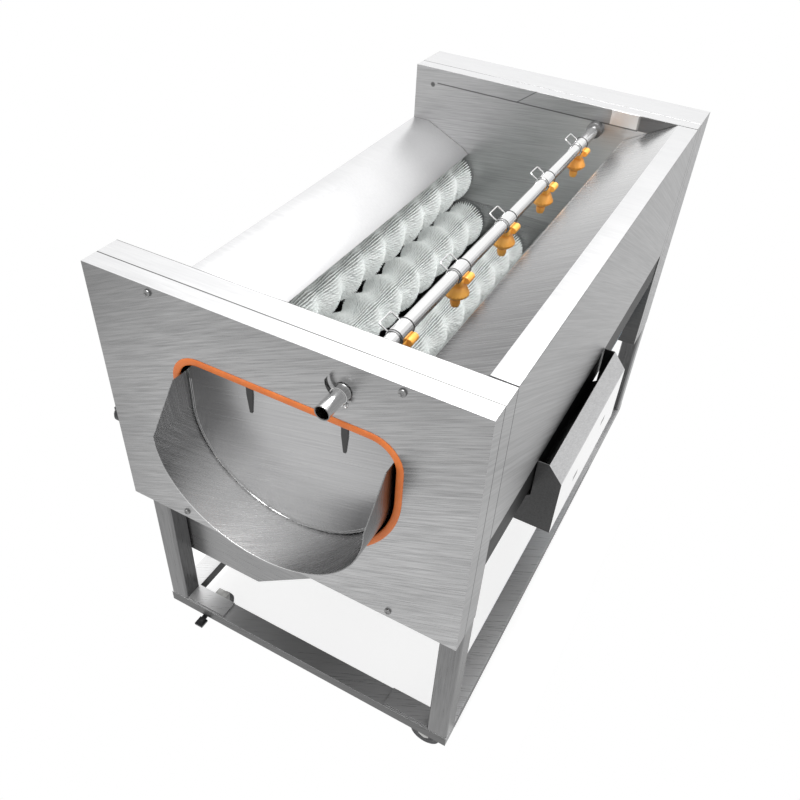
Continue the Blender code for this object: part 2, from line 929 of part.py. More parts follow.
# Drive chain: a band round the outside of the four sprockets
def chain_outline(clearance):
    wheels = [(*drive_centre, drive_radius)]
    wheels += [(*centre, sprocket_radius) for centre in reversed(centres)]
    outline = []
    count = len(wheels)
    normals = []
    for index in range(count):
        ax, az, ar = wheels[index]
        bx, bz, br = wheels[(index + 1) % count]
        between = Vector((bx - ax, bz - az))
        heading = math.atan2(between.y, between.x)
        lean = math.acos((ar - br) / between.length)
        normals.append(heading + lean)
    for index in range(count):
        x, z, radius = wheels[index]
        first = normals[index - 1]
        last = normals[index]
        turn = (first - last) % math.tau
        for step in range(chain_steps + 1):
            angle = first - turn * step / chain_steps
            reach = (radius + clearance) / math.cos(turn / chain_steps * half_share)
            outline.append((x + reach * math.cos(angle), z + reach * math.sin(angle)))
    return outline


chain_middle = sprocket_y + sprocket_width * half_share
chain_half = chain_width * half_share
chain_rings = []
chain_bm = bmesh.new()
for clearance, along in (
    (gap, chain_middle - chain_half),
    (gap + chain_thickness, chain_middle - chain_half),
    (gap + chain_thickness, chain_middle + chain_half),
    (gap, chain_middle + chain_half),
):
    loop = [chain_bm.verts.new(placed("Y", pair, along)) for pair in chain_outline(clearance)]
    chain_rings.append(loop)
bridge_rings(chain_bm, chain_rings, True)
node("drive_chain", mesh_from(chain_bm), plain)

# Gear motor, face-mounted on the rear box under the hopper
gearbox = prism(
    chamfered(
        (drive_x - gearbox_half, drive_x + gearbox_half),
        (drive_height - gearbox_half, drive_height + gearbox_half),
        gearbox_corner,
    ),
    "Y",
    gearbox_start,
    tank_back,
)
bore = rod(gearbox_bore, "Y", drive_centre, drive_start - gap, tank_back + overrun, round_sides)
motor_end = gearbox_start + sheet * half_share
cowl_start = motor_end - motor_length
motor_profile = [
    (fan_cowl_radius, cowl_start),
    (fan_cowl_radius, cowl_start + fan_cowl_length),
    (motor_radius, cowl_start + fan_cowl_length),
    (motor_radius, motor_end),
]
motor = turned(motor_profile, "Y", drive_centre, round_sides)
terminal_half = terminal_box_side * half_share
terminal_middle = motor_end - motor_length * half_share
terminal_box = block(
    (drive_x - terminal_half, drive_x + terminal_half),
    (terminal_middle - terminal_half, terminal_middle + terminal_half),
    (drive_height - motor_radius - terminal_box_height, drive_height),
)
node("gear_motor", cut(join(gearbox, [join(motor, [terminal_box])]), [bore]), enamel)

# Spray pipe, its rear socket and the hose clamp at its inlet
socket_start = tank_back - socket_length
pipe_inner = pipe_radius - pipe_wall
pipe_profile = [
    (pipe_inner, -pipe_reach),
    (pipe_radius, -pipe_reach),
    (pipe_radius, socket_start),
    (socket_radius, socket_start),
    (socket_radius, tank_back),
    (pipe_inner, tank_back),
]
node("spray_pipe", turned(pipe_profile, "Y", pipe_centre, round_sides, True), bright, smooth=True)
clamp_start = -pipe_reach + clamp_from_front
clamp_band = rod(clamp_radius, "Y", pipe_centre, clamp_start, clamp_start + clamp_width, round_sides)
clamp_screw = rod(
    clamp_screw_radius,
    "X",
    (clamp_start + clamp_width * half_share, pipe_height - clamp_radius),
    pipe_x - clamp_screw_length * half_share,
    pipe_x + clamp_screw_length * half_share,
    small_sides,
)
clamp_span = (clamp_start - overrun, clamp_start + clamp_width + overrun)
clamp_bore = passage(pipe_radius + gap, pipe_centre, clamp_span, round_sides)
clamp = cut(join(clamp_band, [clamp_screw]), [clamp_bore])
node("hose_clamp", clamp, bright)

# Nozzles: a steel clip with its wire bail, an orange body under the pipe and a ball tip that can be aimed
clip_half = clip_length * half_share
clip_inner = pipe_radius + gap


def bail_wire():
    """A square wire loop that stands off the side of the clip."""
    half_bail = bail_width * half_share
    foot = -clip_radius + bail_wire_radius
    reach = -clip_radius - bail_reach
    path = [
        Vector((foot, -half_bail, 0)),
        Vector((reach, -half_bail, 0)),
        Vector((reach, half_bail, 0)),
        Vector((foot, half_bail, 0)),
    ]
    bm = bmesh.new()
    rings = []
    for index, point in enumerate(path):
        before = (point - path[index - 1]).normalized() if index else (path[1] - point).normalized()
        after = (path[index + 1] - point).normalized() if index < len(path) - 1 else before
        tangent = (before + after).normalized()
        across = tangent.cross(Vector((0, 0, 1))).normalized()
        widen = 1 / tangent.dot(after)
        ring_points = []
        for a, b in circle(bail_wire_radius, wire_sides):
            ring_points.append(bm.verts.new(point + across * a * widen + Vector((0, 0, b))))
        rings.append(ring_points)
    bridge_rings(bm, rings, False)
    bm.faces.new(rings[0][::-1])
    bm.faces.new(rings[-1])
    return mesh_from(bm)


clip_sleeve = tube_of(clip_radius, clip_inner, "Y", (0, 0), -clip_half, clip_half)
bail = bail_wire()
bail.transform(Matrix.Rotation(bail_tilt, 4, "Y"))
clip = join(clip_sleeve, [bail])

nut_top = -nozzle_body_drop + nozzle_nut_length + saddle_ear
rim_low = -nozzle_body_drop + nozzle_foot_height
body_profile = [
    (nozzle_neck_radius, 0),
    (nozzle_neck_radius, nut_top),
    (nozzle_shoulder_radius, nut_top - saddle_ear),
    (nozzle_nut_radius, rim_low + nozzle_rim_height),
    (nozzle_nut_radius, rim_low),
    (nozzle_cap_radius, -nozzle_body_drop),
]
nozzle_body = turned(body_profile, "Z", (0, 0), small_sides)
saddle_half = saddle_length * half_share
saddle = block(
    (-clip_radius, clip_radius),
    (-saddle_half, saddle_half),
    (-clip_radius - saddle_ear, -saddle_ear),
)
boss = rod(boss_radius, "Y", (boss_side, -boss_drop), saddle_half - boss_length, saddle_half, small_sides)
saddle_cut = rod(clip_radius + gap, "Y", (0, 0), -clip_length, clip_length, round_sides)
ball_height = -nozzle_body_drop + ball_radius * ball_depth_share


def ball_profile(radius, low_share, high_share):
    """The half round of a ball, cut flat at shares of its radius below and above its middle."""
    profile = []
    low = math.asin(low_share)
    high = math.asin(high_share)
    for i in range(ball_steps + 1):
        angle = low + (high - low) * i / ball_steps
        profile.append((radius * math.cos(angle), radius * math.sin(angle)))
    return profile


pocket_profile = ball_profile(ball_radius + ball_fit, -ball_high_share, ball_high_share)
pocket = moved(turned(pocket_profile, "Z", (0, 0), small_sides), (0, 0, ball_height))
nozzle_body = cut(join(nozzle_body, [saddle, boss]), [saddle_cut, pocket])
tip_end = -tip_drop - ball_height
neck_end = -ball_radius * ball_depth_share - tip_neck_length
tip_profile = [
    (tip_end_radius, tip_end),
    (tip_radius, neck_end - tip_barrel_length),
    (tip_radius, neck_end),
    (tip_neck_radius, neck_end),
    *ball_profile(ball_radius, ball_low_share, ball_high_share),
]
tip_bore = rod(nozzle_bore_radius, "Z", (0, 0), tip_end - overrun, neck_end)
nozzle_tip = cut(turned(tip_profile, "Z", (0, 0), small_sides), [tip_bore])
for index in range(nozzle_count):
    along = first_nozzle_y + index * nozzle_spacing
    origin = (pipe_x, along, pipe_height)
    number = index + 1
    node(f"nozzle_clip_{number}", clip if index == 0 else clip.copy(), bright, origin)
    node(f"nozzle_body_{number}", nozzle_body if index == 0 else nozzle_body.copy(), orange, origin)
    tip_origin = (pipe_x, along, pipe_height + ball_height)
    node(f"nozzle_tip_{number}", nozzle_tip if index == 0 else nozzle_tip.copy(), orange, tip_origin)

# Side trough under the right panel: bent sheet with closed ends and a sloping lip
trough_foot_x = trough_outer_x - trough_floor_width


def under_slope(x):
    return drain_slope_height - (drain_side - x) * slope_share - trough_floor_inset


trough_path = [
    (trough_foot_x, under_slope(trough_foot_x)),
    (trough_foot_x, trough_bottom),
    (trough_outer_x, trough_bottom),
    (trough_outer_x, trough_shoulder_height),
    (trough_ridge_x, trough_top),
]
trough_sheet = prism(folded(trough_path, sheet), "Y", trough_front, trough_front + trough_length)
end_outline = [
    *trough_path,
    (half_width + gap, trough_top),
    (half_width + gap, under_slope(half_width)),
]
trough_ends = []
for start in (trough_front, trough_front + trough_length - sheet):
    trough_ends.append(prism(end_outline, "Y", start, start + sheet))
node("side_trough", join(trough_sheet, trough_ends), brushed)

# Rotary switch on the left of the front cover
switch_y = cover_depth * half_share
switch_base = rod(
    switch_base_radius,
    "X",
    (switch_y, switch_height),
    -half_width - gap - switch_base_depth + gap,
    -half_width - gap,
    round_sides,
)
node("switch_base", switch_base, black, smooth=True)
knob_start = -half_width - switch_base_depth - gap
knob_end = knob_start - switch_depth + gap
knob_body = turned(
    [
        (switch_radius * wheel_rim_share, knob_end - knob_start + switch_grip_depth),
        (switch_radius, knob_end - knob_start + 2 * switch_grip_depth),
        (switch_radius, 0),
    ],
    "X",
    (0, 0),
    round_sides,
)
grip_half = switch_grip_width * half_share
grip = block(
    (knob_end - knob_start, knob_end - knob_start + 2 * switch_grip_depth),
    (-grip_half, grip_half),
    (-switch_radius * wheel_rim_share, switch_radius * wheel_rim_share),
)
node("switch_knob", join(knob_body, [grip]), black, (knob_start, switch_y, switch_height))

# Casters: a swivelling fork, a wheel on its axle and, at the front, a brake pedal
wheel_drop = -(caster_height - wheel_radius)
wheel_half = wheel_width * half_share
cheek_inner = wheel_half + cheek_gap
cheek_outer = cheek_inner + cheek_thickness
race = turned([(race_radius, -race_height), (race_radius, -gap)], "Z", (0, 0), round_sides)
bridge = block(
    (-bridge_front, bridge_back),
    (-cheek_outer, cheek_outer),
    (-race_height - bridge_thickness, -race_height + bridge_thickness * half_share),
)
fork_parts = [bridge]
cheek_outline = [
    (-bridge_front, -race_height - bridge_thickness * half_share),
    (-bridge_front, -race_height - 2 * bridge_thickness),
    (caster_trail - cheek_foot, wheel_drop - cheek_foot * half_share),
    (caster_trail, wheel_drop - cheek_foot),
    (caster_trail + cheek_foot, wheel_drop - cheek_foot * half_share),
    (bridge_back, -race_height - 2 * bridge_thickness),
    (bridge_back, -race_height - bridge_thickness * half_share),
]
for start in (-cheek_outer, cheek_inner):
    fork_parts.append(prism(cheek_outline, "Y", start, start + cheek_thickness))
fork_parts.append(rod(axle_radius, "Y", (caster_trail, wheel_drop), -cheek_outer + gap, cheek_outer - gap))
fork = join(race, fork_parts)

wheel_inner = axle_radius + axle_fit
wheel_rim = wheel_radius * wheel_rim_share
wheel_profile = [
    (wheel_inner, -wheel_half),
    (wheel_hub_radius, -wheel_half),
    (wheel_rim, -wheel_half * wheel_rim_share),
    (wheel_radius, -wheel_half * half_share),
    (wheel_radius, wheel_half * half_share),
    (wheel_rim, wheel_half * wheel_rim_share),
    (wheel_hub_radius, wheel_half),
    (wheel_inner, wheel_half),
]
wheel = turned(wheel_profile, "Y", (0, 0), round_sides, True)

pedal_half = pedal_width * half_share
lever_half = pedal_lever_width * half_share
pedal_top = -race_height - bridge_thickness - gap
pedal_outline = [
    (0, pedal_top),
    (-bridge_front - pedal_length, pedal_top - pedal_drop * half_share),
    (-bridge_front - pedal_length, pedal_top - pedal_drop * half_share - pedal_thickness),
    (-bridge_front, pedal_top - pedal_thickness),
    (0, pedal_top - pedal_thickness),
]
pedal_lever = prism(pedal_outline, "Y", -lever_half, lever_half)
pedal_pad = block(
    (-bridge_front - pedal_length - pedal_thickness, -bridge_front - pedal_length * half_share),
    (-pedal_half, pedal_half),
    (pedal_top - pedal_drop * half_share - pedal_thickness, pedal_top - pedal_drop * half_share),
)
pedal = moved(join(pedal_lever, [pedal_pad]), (0, 0, -pedal_top))

caster_front_y = cover_depth + tube * half_share + caster_inset
caster_rear_y = ring_back - tube * half_share - caster_inset
casters = (
    ("front_left", -caster_x, caster_front_y, quarter_turn, True),
    ("front_right", caster_x, caster_front_y, 0, True),
    ("rear_left", -caster_x, caster_rear_y, -quarter_turn, False),
    ("rear_right", caster_x, caster_rear_y, -quarter_turn, False),
)
for index, (place, x, y, heading, braked) in enumerate(casters):
    turn = (0, 0, heading)
    turning = Matrix.Rotation(heading, 3, "Z")
    base = Vector((x, y, caster_height))
    node(f"caster_fork_{place}", fork if index == 0 else fork.copy(), bright, base, turn)
    axle_at = base + turning @ Vector((caster_trail, 0, wheel_drop))
    node(f"caster_wheel_{place}", wheel if index == 0 else wheel.copy(), tyre, axle_at, turn, True)
    if braked:
        pedal_at = base + Vector((0, 0, pedal_top))
        node(f"caster_pedal_{place}", pedal if index == 0 else pedal.copy(), black, pedal_at, turn)
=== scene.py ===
# %% [markdown]
# # A roller vegetable washer
# This lesson dresses a stainless vegetable washer for a studio picture. The machine is a trough on
# castors: three brush rollers turn under a spray pipe, and the washed vegetables leave through a
# hinged gate and a bent chute at the front. The solids come from the machine's own drawing and stay
# where they are. We give each of them the finish that it has in a workshop, and we remodel the
# pieces whose real shape is finer than the drawing: the bristles, the spray pipe with its clamp
# and nozzles, the chute, the rubber trim and the castor wheels. In the drawing the cover's screws
# are one solid with the cover, so their heads are made here as pieces of their own.

# %% Load the machine
import json
import math

import bmesh
import bpy
import numpy as np
from mathutils import Matrix, Vector

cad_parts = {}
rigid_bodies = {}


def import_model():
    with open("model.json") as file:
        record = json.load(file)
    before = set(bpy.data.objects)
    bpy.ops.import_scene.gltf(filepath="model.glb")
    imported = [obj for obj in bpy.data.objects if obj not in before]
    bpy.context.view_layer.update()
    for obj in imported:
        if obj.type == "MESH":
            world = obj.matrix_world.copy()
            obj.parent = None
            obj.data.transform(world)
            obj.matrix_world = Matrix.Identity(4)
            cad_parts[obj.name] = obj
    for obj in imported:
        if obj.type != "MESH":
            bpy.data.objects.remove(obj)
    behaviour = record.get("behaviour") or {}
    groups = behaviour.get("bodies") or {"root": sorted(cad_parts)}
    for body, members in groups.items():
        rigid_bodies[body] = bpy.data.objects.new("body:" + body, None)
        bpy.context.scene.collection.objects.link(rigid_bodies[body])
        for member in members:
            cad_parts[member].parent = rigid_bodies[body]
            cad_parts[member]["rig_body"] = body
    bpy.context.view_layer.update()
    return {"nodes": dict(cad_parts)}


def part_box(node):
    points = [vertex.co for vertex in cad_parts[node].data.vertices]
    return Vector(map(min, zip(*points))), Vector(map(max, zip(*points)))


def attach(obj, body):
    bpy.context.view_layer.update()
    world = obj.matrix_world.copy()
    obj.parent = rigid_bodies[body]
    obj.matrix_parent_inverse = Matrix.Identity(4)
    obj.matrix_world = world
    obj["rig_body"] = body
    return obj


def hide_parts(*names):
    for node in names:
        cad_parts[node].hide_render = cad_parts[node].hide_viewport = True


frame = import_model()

nodes = frame["nodes"]

# %% [markdown]
# Everything is placed from the front cover. It reaches 380 mm to each side of the machine's middle,
# and its face is where lengths along the machine start. One point carries the drawing's own
# lengths into the scene. It is read from the solids, which keeps every new piece on the machine.

# %% Where the machine stands
cover_low, cover_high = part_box("front_cover")
half_width = (cover_high.x - cover_low.x) / 2
cover_depth = 0.037
middle = Vector(((cover_high.x + cover_low.x) / 2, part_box("front_box")[0].y - cover_depth, 0))


def at(x, y, z):
    """A point given in the machine's own lengths: from its middle, its front face and the floor."""
    return middle + Vector((x, y, z))


print("half width", round(half_width, 4), "front face at", round(middle.y, 4))

# %% [markdown]
# Modelling by hand means selecting something and calling an operator on it. Imported solids start
# out selected, so take clears the selection and takes one piece alone. open_mesh opens that piece in
# edit mode, and pick selects its faces or edges by a test, as we would click them. The export puts
# every object at the origin, so settle moves an object's place into its mesh. The last three make an
# object, apply a modifier and shade a piece smooth.

# %% Helpers for selecting and shaping


def select_nothing():
    bpy.ops.object.select_all(action="DESELECT")


def take(piece):
    """Makes one piece the selected and the active one."""
    select_nothing()
    piece.select_set(True)
    bpy.context.view_layer.objects.active = piece


def open_mesh(piece):
    """Opens a piece in edit mode with nothing of it selected."""
    take(piece)
    bpy.ops.object.mode_set(mode="EDIT")
    bpy.ops.mesh.select_all(action="DESELECT")


def close_mesh():
    bpy.ops.object.mode_set(mode="OBJECT")


def pick(piece, kind, test):
    """Selects what a test accepts in the open mesh: FACE by middle and normal, EDGE by its ends."""
    bpy.ops.mesh.select_all(action="DESELECT")
    bpy.ops.mesh.select_mode(type=kind)
    mesh = bmesh.from_edit_mesh(piece.data)
    found = 0
    for item in mesh.faces if kind == "FACE" else mesh.edges:
        if kind == "FACE":
            wanted = test(item.calc_center_median(), item.normal)
        else:
            wanted = test(item.verts[0].co, item.verts[1].co)
        if wanted:
            item.select_set(True)
            found += 1
    mesh.select_flush_mode()
    bmesh.update_edit_mesh(piece.data)
    return found


def settle(piece):
    """Puts the object at the origin, unturned and unscaled, with its place in its mesh."""
    take(piece)
    bpy.ops.object.transform_apply(location=True, rotation=True, scale=True)
    return piece


def shown(name, data):
    """A new object in the scene that shows a mesh or a curve."""
    piece = bpy.data.objects.new(name, data)
    bpy.context.scene.collection.objects.link(piece)
    return piece


def apply_modifier(piece, kind, **settings):
    """Adds a modifier to a piece, sets it up and makes its result the piece's own mesh."""
    modifier = piece.modifiers.new(kind.lower(), kind)
    for key, value in settings.items():
        setattr(modifier, key, value)
    take(piece)
    bpy.ops.object.modifier_apply(modifier=modifier.name)


def shade_smooth(piece, degrees):
    """Shades a piece smooth but for the edges that are sharper than the angle."""
    take(piece)
    bpy.ops.object.shade_smooth_by_angle(angle=math.radians(degrees))


print("selection helpers ready")

# %% [markdown]
# A finish is a small network of nodes. Arithmetic on sockets reads badly as boxes and wires, so a
# Mask wraps one socket and lets us write sums. A Finish owns one material and has a single method
# that adds any other node, settings first and sockets second.

# %% Masks and finishes


class Mask:
    def __init__(self, finish, socket):
        self.finish = finish
        self.socket = socket

    def __add__(self, other):
        return self.finish.sum("ADD", self, other)

    def __sub__(self, other):
        return self.finish.sum("SUBTRACT", self, other)

    def __rsub__(self, other):
        return self.finish.sum("SUBTRACT", other, self)

    def __mul__(self, other):
        return self.finish.sum("MULTIPLY", self, other)

    def __pow__(self, other):
        return self.finish.sum("POWER", self, other)

    __radd__ = __add__
    __rmul__ = __mul__

    def step(self, low, high):
        """0 below the low value, 1 above the high one, and a straight ramp between."""
        return self.finish.sum("MULTIPLY", self - low, 1 / (high - low), clamp=True)


class Finish:
    def __init__(self, name, colour, roughness, metallic=0.0, **constants):
        self.material = bpy.data.materials.new(name)
        self.material.use_nodes = True
        self.tree = self.material.node_tree
        self.shader = self.tree.nodes["Principled BSDF"]
        self.set("Base Color", (*colour, 1))
        self.set("Roughness", roughness)
        self.set("Metallic", metallic)
        for key, value in constants.items():
            self.set(key.replace("_", " ").title(), value)
        self.place = self.add("ShaderNodeTexCoord").outputs["Object"]

    def add(self, kind, settings=None, values=None):
        node = self.tree.nodes.new(kind)
        for key, value in (settings or {}).items():
            setattr(node, key, value)
        for key, value in (values or {}).items():
            self.feed(node.inputs[key], value)
        return node

    def feed(self, socket, value):
        if isinstance(value, Mask):
            value = value.socket
        if isinstance(value, bpy.types.NodeSocket):
            self.tree.links.new(value, socket)
        else:
            socket.default_value = value

    def set(self, name, value):
        self.feed(self.shader.inputs[name], value)

    def sum(self, operation, *values, clamp=False):
        settings = {"operation": operation, "use_clamp": clamp}
        return Mask(self, self.add("ShaderNodeMath", settings, dict(enumerate(values))).outputs[0])

    def axis(self, index):
        """The X, Y or Z place of the shaded point."""
        split = self.add("ShaderNodeSeparateXYZ", None, {0: self.place})
        return Mask(self, split.outputs[index])

    def noise(self, cells, detail=2.0, offset=(0, 0, 0), turn=(0, 0, 0)):
        """Cloudy noise from 0 to 1, with so many cells in a metre along its turned X, Y and Z."""
        sizes = {"Location": offset, "Rotation": turn, "Scale": [1 / count for count in cells]}
        moved = self.add("ShaderNodeMapping", {"vector_type": "TEXTURE"}, {"Vector": self.place, **sizes})
        values = {"Vector": moved.outputs[0], "Scale": 1.0, "Detail": detail, "Roughness": 0.5}
        return Mask(self, self.add("ShaderNodeTexNoise", None, values).outputs[0])

    def blend(self, factor, first, second):
        """Mixes two colours, or a colour and a colour socket, by a mask."""
        first = first if isinstance(first, bpy.types.NodeSocket) else (*first, 1)
        second = second if isinstance(second, bpy.types.NodeSocket) else (*second, 1)
        # A Mix node has its factor at socket 0, its two colours at 6 and 7, and the result at 2.
        mix = self.add("ShaderNodeMix", {"data_type": "RGBA"}, {0: factor, 6: first, 7: second})
        return mix.outputs[2]

    def bump(self, height, strength, distance=0.001):
        values = {"Height": height, "Strength": strength, "Distance": distance}
        self.set("Normal", self.add("ShaderNodeBump", None, values).outputs[0])


print("finish tools ready")

# %% [markdown]
# Brushed sheet is the machine's main finish. A belt sands the coil in one direction before the
# blanks are cut from it, and these blanks were cut on a slant, so the streaks lie across the folds
# instead of along them. Three stretched noises make the streaks: fine hairs, longer lines and a
# slow cloud where the belt pressed harder. They drive the colour, the roughness and a shallow bump.
# Where one sheet's edge lies on another, a thin dark line across the streaks shows the seam.


# %% Brushed steel and its seams
def thin_line(finish, index, place, half=0.0017):
    """1 within half a line's width of a place along X, Y or Z, and 0 beyond."""
    away = finish.sum("ABSOLUTE", finish.axis(index) - (middle[index] + place))
    return 1 - away.step(half * 0.5, half)


def between(finish, index, low, high, soft=0.001):
    """1 from a low to a high place along X, Y or Z, with soft ends."""
    place = finish.axis(index) - middle[index]
    return place.step(low - soft, low + soft) * (1 - place.step(high - soft, high + soft))


def shade(finish, tone, mask, grey):
    """Lays a grey over a tone where a mask is 1."""
    return finish.blend(mask, tone, (grey,) * 3)


def brushed_steel(
    name, lie, colour, contrast, roughness=0.30, long=1.0, unrolled=False, marks=None, seams=(), dull=0.0
):
    """The lie is the streaks' direction, long stretches them, and seams are places along the machine."""
    finish = Finish(name, (colour,) * 3, roughness, 1.0 - dull)
    if unrolled:
        finish.place = finish.add("ShaderNodeUVMap", {"uv_map": "flat_blank"}).outputs[0]
    turn = Vector(lie).to_track_quat("X", "Z").to_euler()

    def streaks(length, width, **more):
        return finish.noise((1 / (length * long), 1 / width, 1 / width), turn=turn, **more)

    hairs = streaks(0.045, 0.0014, detail=3.0)
    lines = streaks(0.110, 0.0034, detail=2.0, offset=(3.1, 1.7, 5.2))
    cloud = streaks(0.40, 0.12, detail=1.0, offset=(7.7, 2.2, 0.4))
    streak = hairs.step(0.34, 0.66) * 0.45 + lines.step(0.36, 0.64) * 0.35 + cloud.step(0.3, 0.7) * 0.2
    dark = colour * (1 - 0.34 * contrast)
    light = colour * (1 + 0.24 * contrast)
    tone = finish.blend(streak, (dark, dark, dark * 1.01), (light, light, light * 1.005))
    for seam in seams:
        tone = shade(finish, tone, thin_line(finish, 1, seam), colour * 0.25)
    if marks:
        tone = marks(finish, tone, colour)
    finish.set("Base Color", tone)
    finish.set("Roughness", streak * 0.10 + (roughness - 0.05))
    finish.bump(streak, 0.20 * contrast, 0.0004)
    return finish.material


print("brushed steel ready for its sheets")

# %% [markdown]
# Polished sheet mirrors what stands round it, and the studio is empty. A thing set up for one sheet
# to mirror would show in all the others, so each of these marks is a soft painted highlight or
# painted shade laid over the streaks of its own sheet. The strip's joint, the crease, patch and hole
# of the rear wall and the slots of the trough are so slight that they are drawn in the same way; the
# crease is a painted dark line of shade and the patch a painted highlight. All places are in metres
# from the machine's middle, its front face and the floor.


# %% Lit and dark areas of single sheets
def dim_corner(finish, tone, colour):
    """The cover's upper left corner mirrors something darker than the rest of it does."""
    across, below_top = finish.axis(0) - middle.x, 1.10 - finish.axis(2)
    lit = across.step(-0.42, -0.16) * 0.6 + below_top.step(0.0, 0.25) * 0.4
    return finish.blend((1 - lit) * 0.85, tone, (colour * 0.35,) * 3)


def rear_marks(finish, tone, colour):
    """The strip's joint and plugged hole, its crease as a painted dark line of shade, a pale patch by the
    pipe painted as a highlight, painted shade at the strip's end and under the side panel, and a painted
    reflection right of the middle.
    """
    across, height = finish.axis(0) - middle.x, finish.axis(2)
    on_strip = height.step(1.046, 1.0475)
    # The pale patch by the pipe is a painted highlight, the dark end of the strip is painted shade, and the
    # crease is a painted dark line of shade in its fold.
    patch = between(finish, 0, 0.168, 0.236) * on_strip
    shaded_end = across.step(0.238, 0.242) * on_strip
    crease = 1 - finish.sum("ABSOLUTE", (across + 0.0823) * 0.75 - (height - 1.0472)).step(0.0010, 0.0022)
    joint = thin_line(finish, 2, 1.0465, 0.0022) * between(finish, 0, -0.315, 0.240)
    hole = 1 - ((across + 0.3284) ** 2 + (height - 1.0405) ** 2).step(0.00002, 0.00006)
    # Painted shade darkens the rear box under the side panel.
    shade_below_panel = across.step(0.09, 0.12) * (1 - height.step(0.74, 0.79))
    tone = shade(finish, tone, shade_below_panel * 0.75, 0.06)
    # A painted reflection lightens the wall right of the middle, under the strip.
    lit_side = across.step(-0.02, 0.20) * height.step(0.80, 0.95) * (1 - on_strip)
    tone = finish.blend(lit_side * 0.60, tone, (0.85, 0.85, 0.85))
    tone = finish.blend(patch, tone, (0.95, 0.95, 0.95))
    tone = shade(finish, tone, shaded_end * 0.75, 0.10)
    tone = shade(finish, tone, crease * on_strip * 0.7, colour * 0.2)
    tone = shade(finish, tone, joint * 0.8, colour * 0.2)
    return shade(finish, tone, hole * 0.8, 0.05)


def lit_floor(finish, tone, colour):
    """Round its bend the chute mirrors the gate at the left, lamps below and the shade at the right."""
    along_bend = finish.axis(0)
    lit = along_bend.step(0.07, 0.18) * (1 - along_bend.step(0.33, 0.45))
    tone = shade(finish, tone, along_bend.step(0.36, 0.48) * 0.45, colour * 0.3)
    return finish.blend(lit * 0.75, tone, (0.95, 0.95, 0.95))


def dark_corner(finish, tone, colour):
    """The gate's upper left corner lies in the shade of the opening, and its right end a little."""
    across, height = finish.axis(0) - middle.x, finish.axis(2)
    left = (1 - across.step(-0.19, -0.02)) * height.step(0.74, 0.94)
    right = across.step(0.10, 0.23) * height.step(0.80, 0.95) * 0.35
    return shade(finish, tone, (left + right) * 0.85, colour * 0.22)


def lit_end(finish, tone, colour):
    """The steep wall has a painted reflection that grows paler toward its upper rear end, and a painted
    highlight where its knee catches the light.
    """
    along, height = finish.axis(1) - middle.y, finish.axis(2)
    lit = along.step(0.25, 1.25) * height.step(0.80, 1.02)
    knee = between(finish, 0, 0.2090, 0.2150) * along.step(0.20, 0.80)
    tone = finish.blend(lit * 0.62, tone, (0.85, 0.85, 0.85))
    return finish.blend(knee * 0.55, tone, (0.97, 0.97, 0.97))


def bright_strip(finish, tone, colour):
    """Under its shoulder the trough's outer face mirrors the floor, and two drain slots are cut there."""
    along, height = finish.axis(1) - middle.y, finish.axis(2)
    tone = finish.blend((1 - height.step(0.700, 0.704)) * 0.85, tone, (0.97, 0.97, 0.97))
    half_long, half_high = 0.014, 0.007
    for place, level in ((0.440, 0.618), (0.612, 0.640)):
        long_way = between(finish, 1, place - half_long, place + half_long)
        slot = long_way * between(finish, 2, level - half_high, level + half_high)
        tone = shade(finish, tone, slot * 0.8, 0.10)
    return tone


def lit_plate(finish, tone, colour):
    """The ring's top has a painted highlight on the front left plate and painted shade along the front
    rail.
    """
    across = finish.axis(0) - middle.x
    near = 1 - (finish.axis(1) - middle.y).step(0.12, 0.30)
    bright = (1 - across.step(-0.31, -0.20)) * near
    dim = across.step(-0.30, -0.16) * (1 - across.step(0.05, 0.30)) * near
    return shade(finish, finish.blend(bright * 0.75, tone, (0.97, 0.97, 0.97)), dim * 0.5, 0.12)


print("marks ready")

# %% [markdown]
# Each sheet has its own lie, because each blank was cut from the coil at another angle and then
# folded another way. Next to the lie stand how light the sheet is painted, darker for a sheet that
# stands in shade and paler for one that mirrors the lamps, how much its streaks show, how rough it is
# and how far the streaks are drawn out. The lit tops, the shaded trough, the shadowed side of the
# hopper and the ring's shaded sides, lit top and highlighted edge are lit and shaded copies of the
# same steel. The boxes at both ends meet the side panels at four places along the machine.

# %% One finish for each lie of the sheet
box_seams = (cover_depth, 0.085, 1.218, 1.256)
cover_steel = brushed_steel(
    "cover_steel", (0.90, 0, 0.43), 0.44, 1.2, 0.28, 1.3, marks=dim_corner, seams=box_seams[:1]
)
panel_steel = brushed_steel("panel_steel", (0, 0.86, -0.51), 0.36, 0.9, 0.42, 3.0, seams=box_seams)
wall_steel = brushed_steel("wall_steel", (0.87, 0, 0.49), 0.22, 0.9, 0.26, 1.6, marks=lit_end)
rear_steel = brushed_steel(
    "rear_steel", (0.99, 0, 0.12), 0.42, 0.8, 0.36, 1.4, marks=rear_marks, seams=box_seams[3:]
)
chute_steel = brushed_steel("chute_steel", (0.8, 0.6, 0), 0.36, 1.1, 0.26, unrolled=True, marks=lit_floor)
trough_steel = brushed_steel("trough_steel", (0, 0.86, -0.51), 0.54, 0.6, 0.36, 3.0, marks=bright_strip)
# A dark copy of the steel: painted shade on the trough's inner, upper and front faces.
dark_steel = brushed_steel("dark_steel", (0, 1, 0), 0.10, 0.8, 0.45)
hopper_steel = brushed_steel("hopper_steel", (1, 0, 0), 0.30, 0.8)
leg_steel = brushed_steel("leg_steel", (0, 0, 1), 0.20, 0.8)
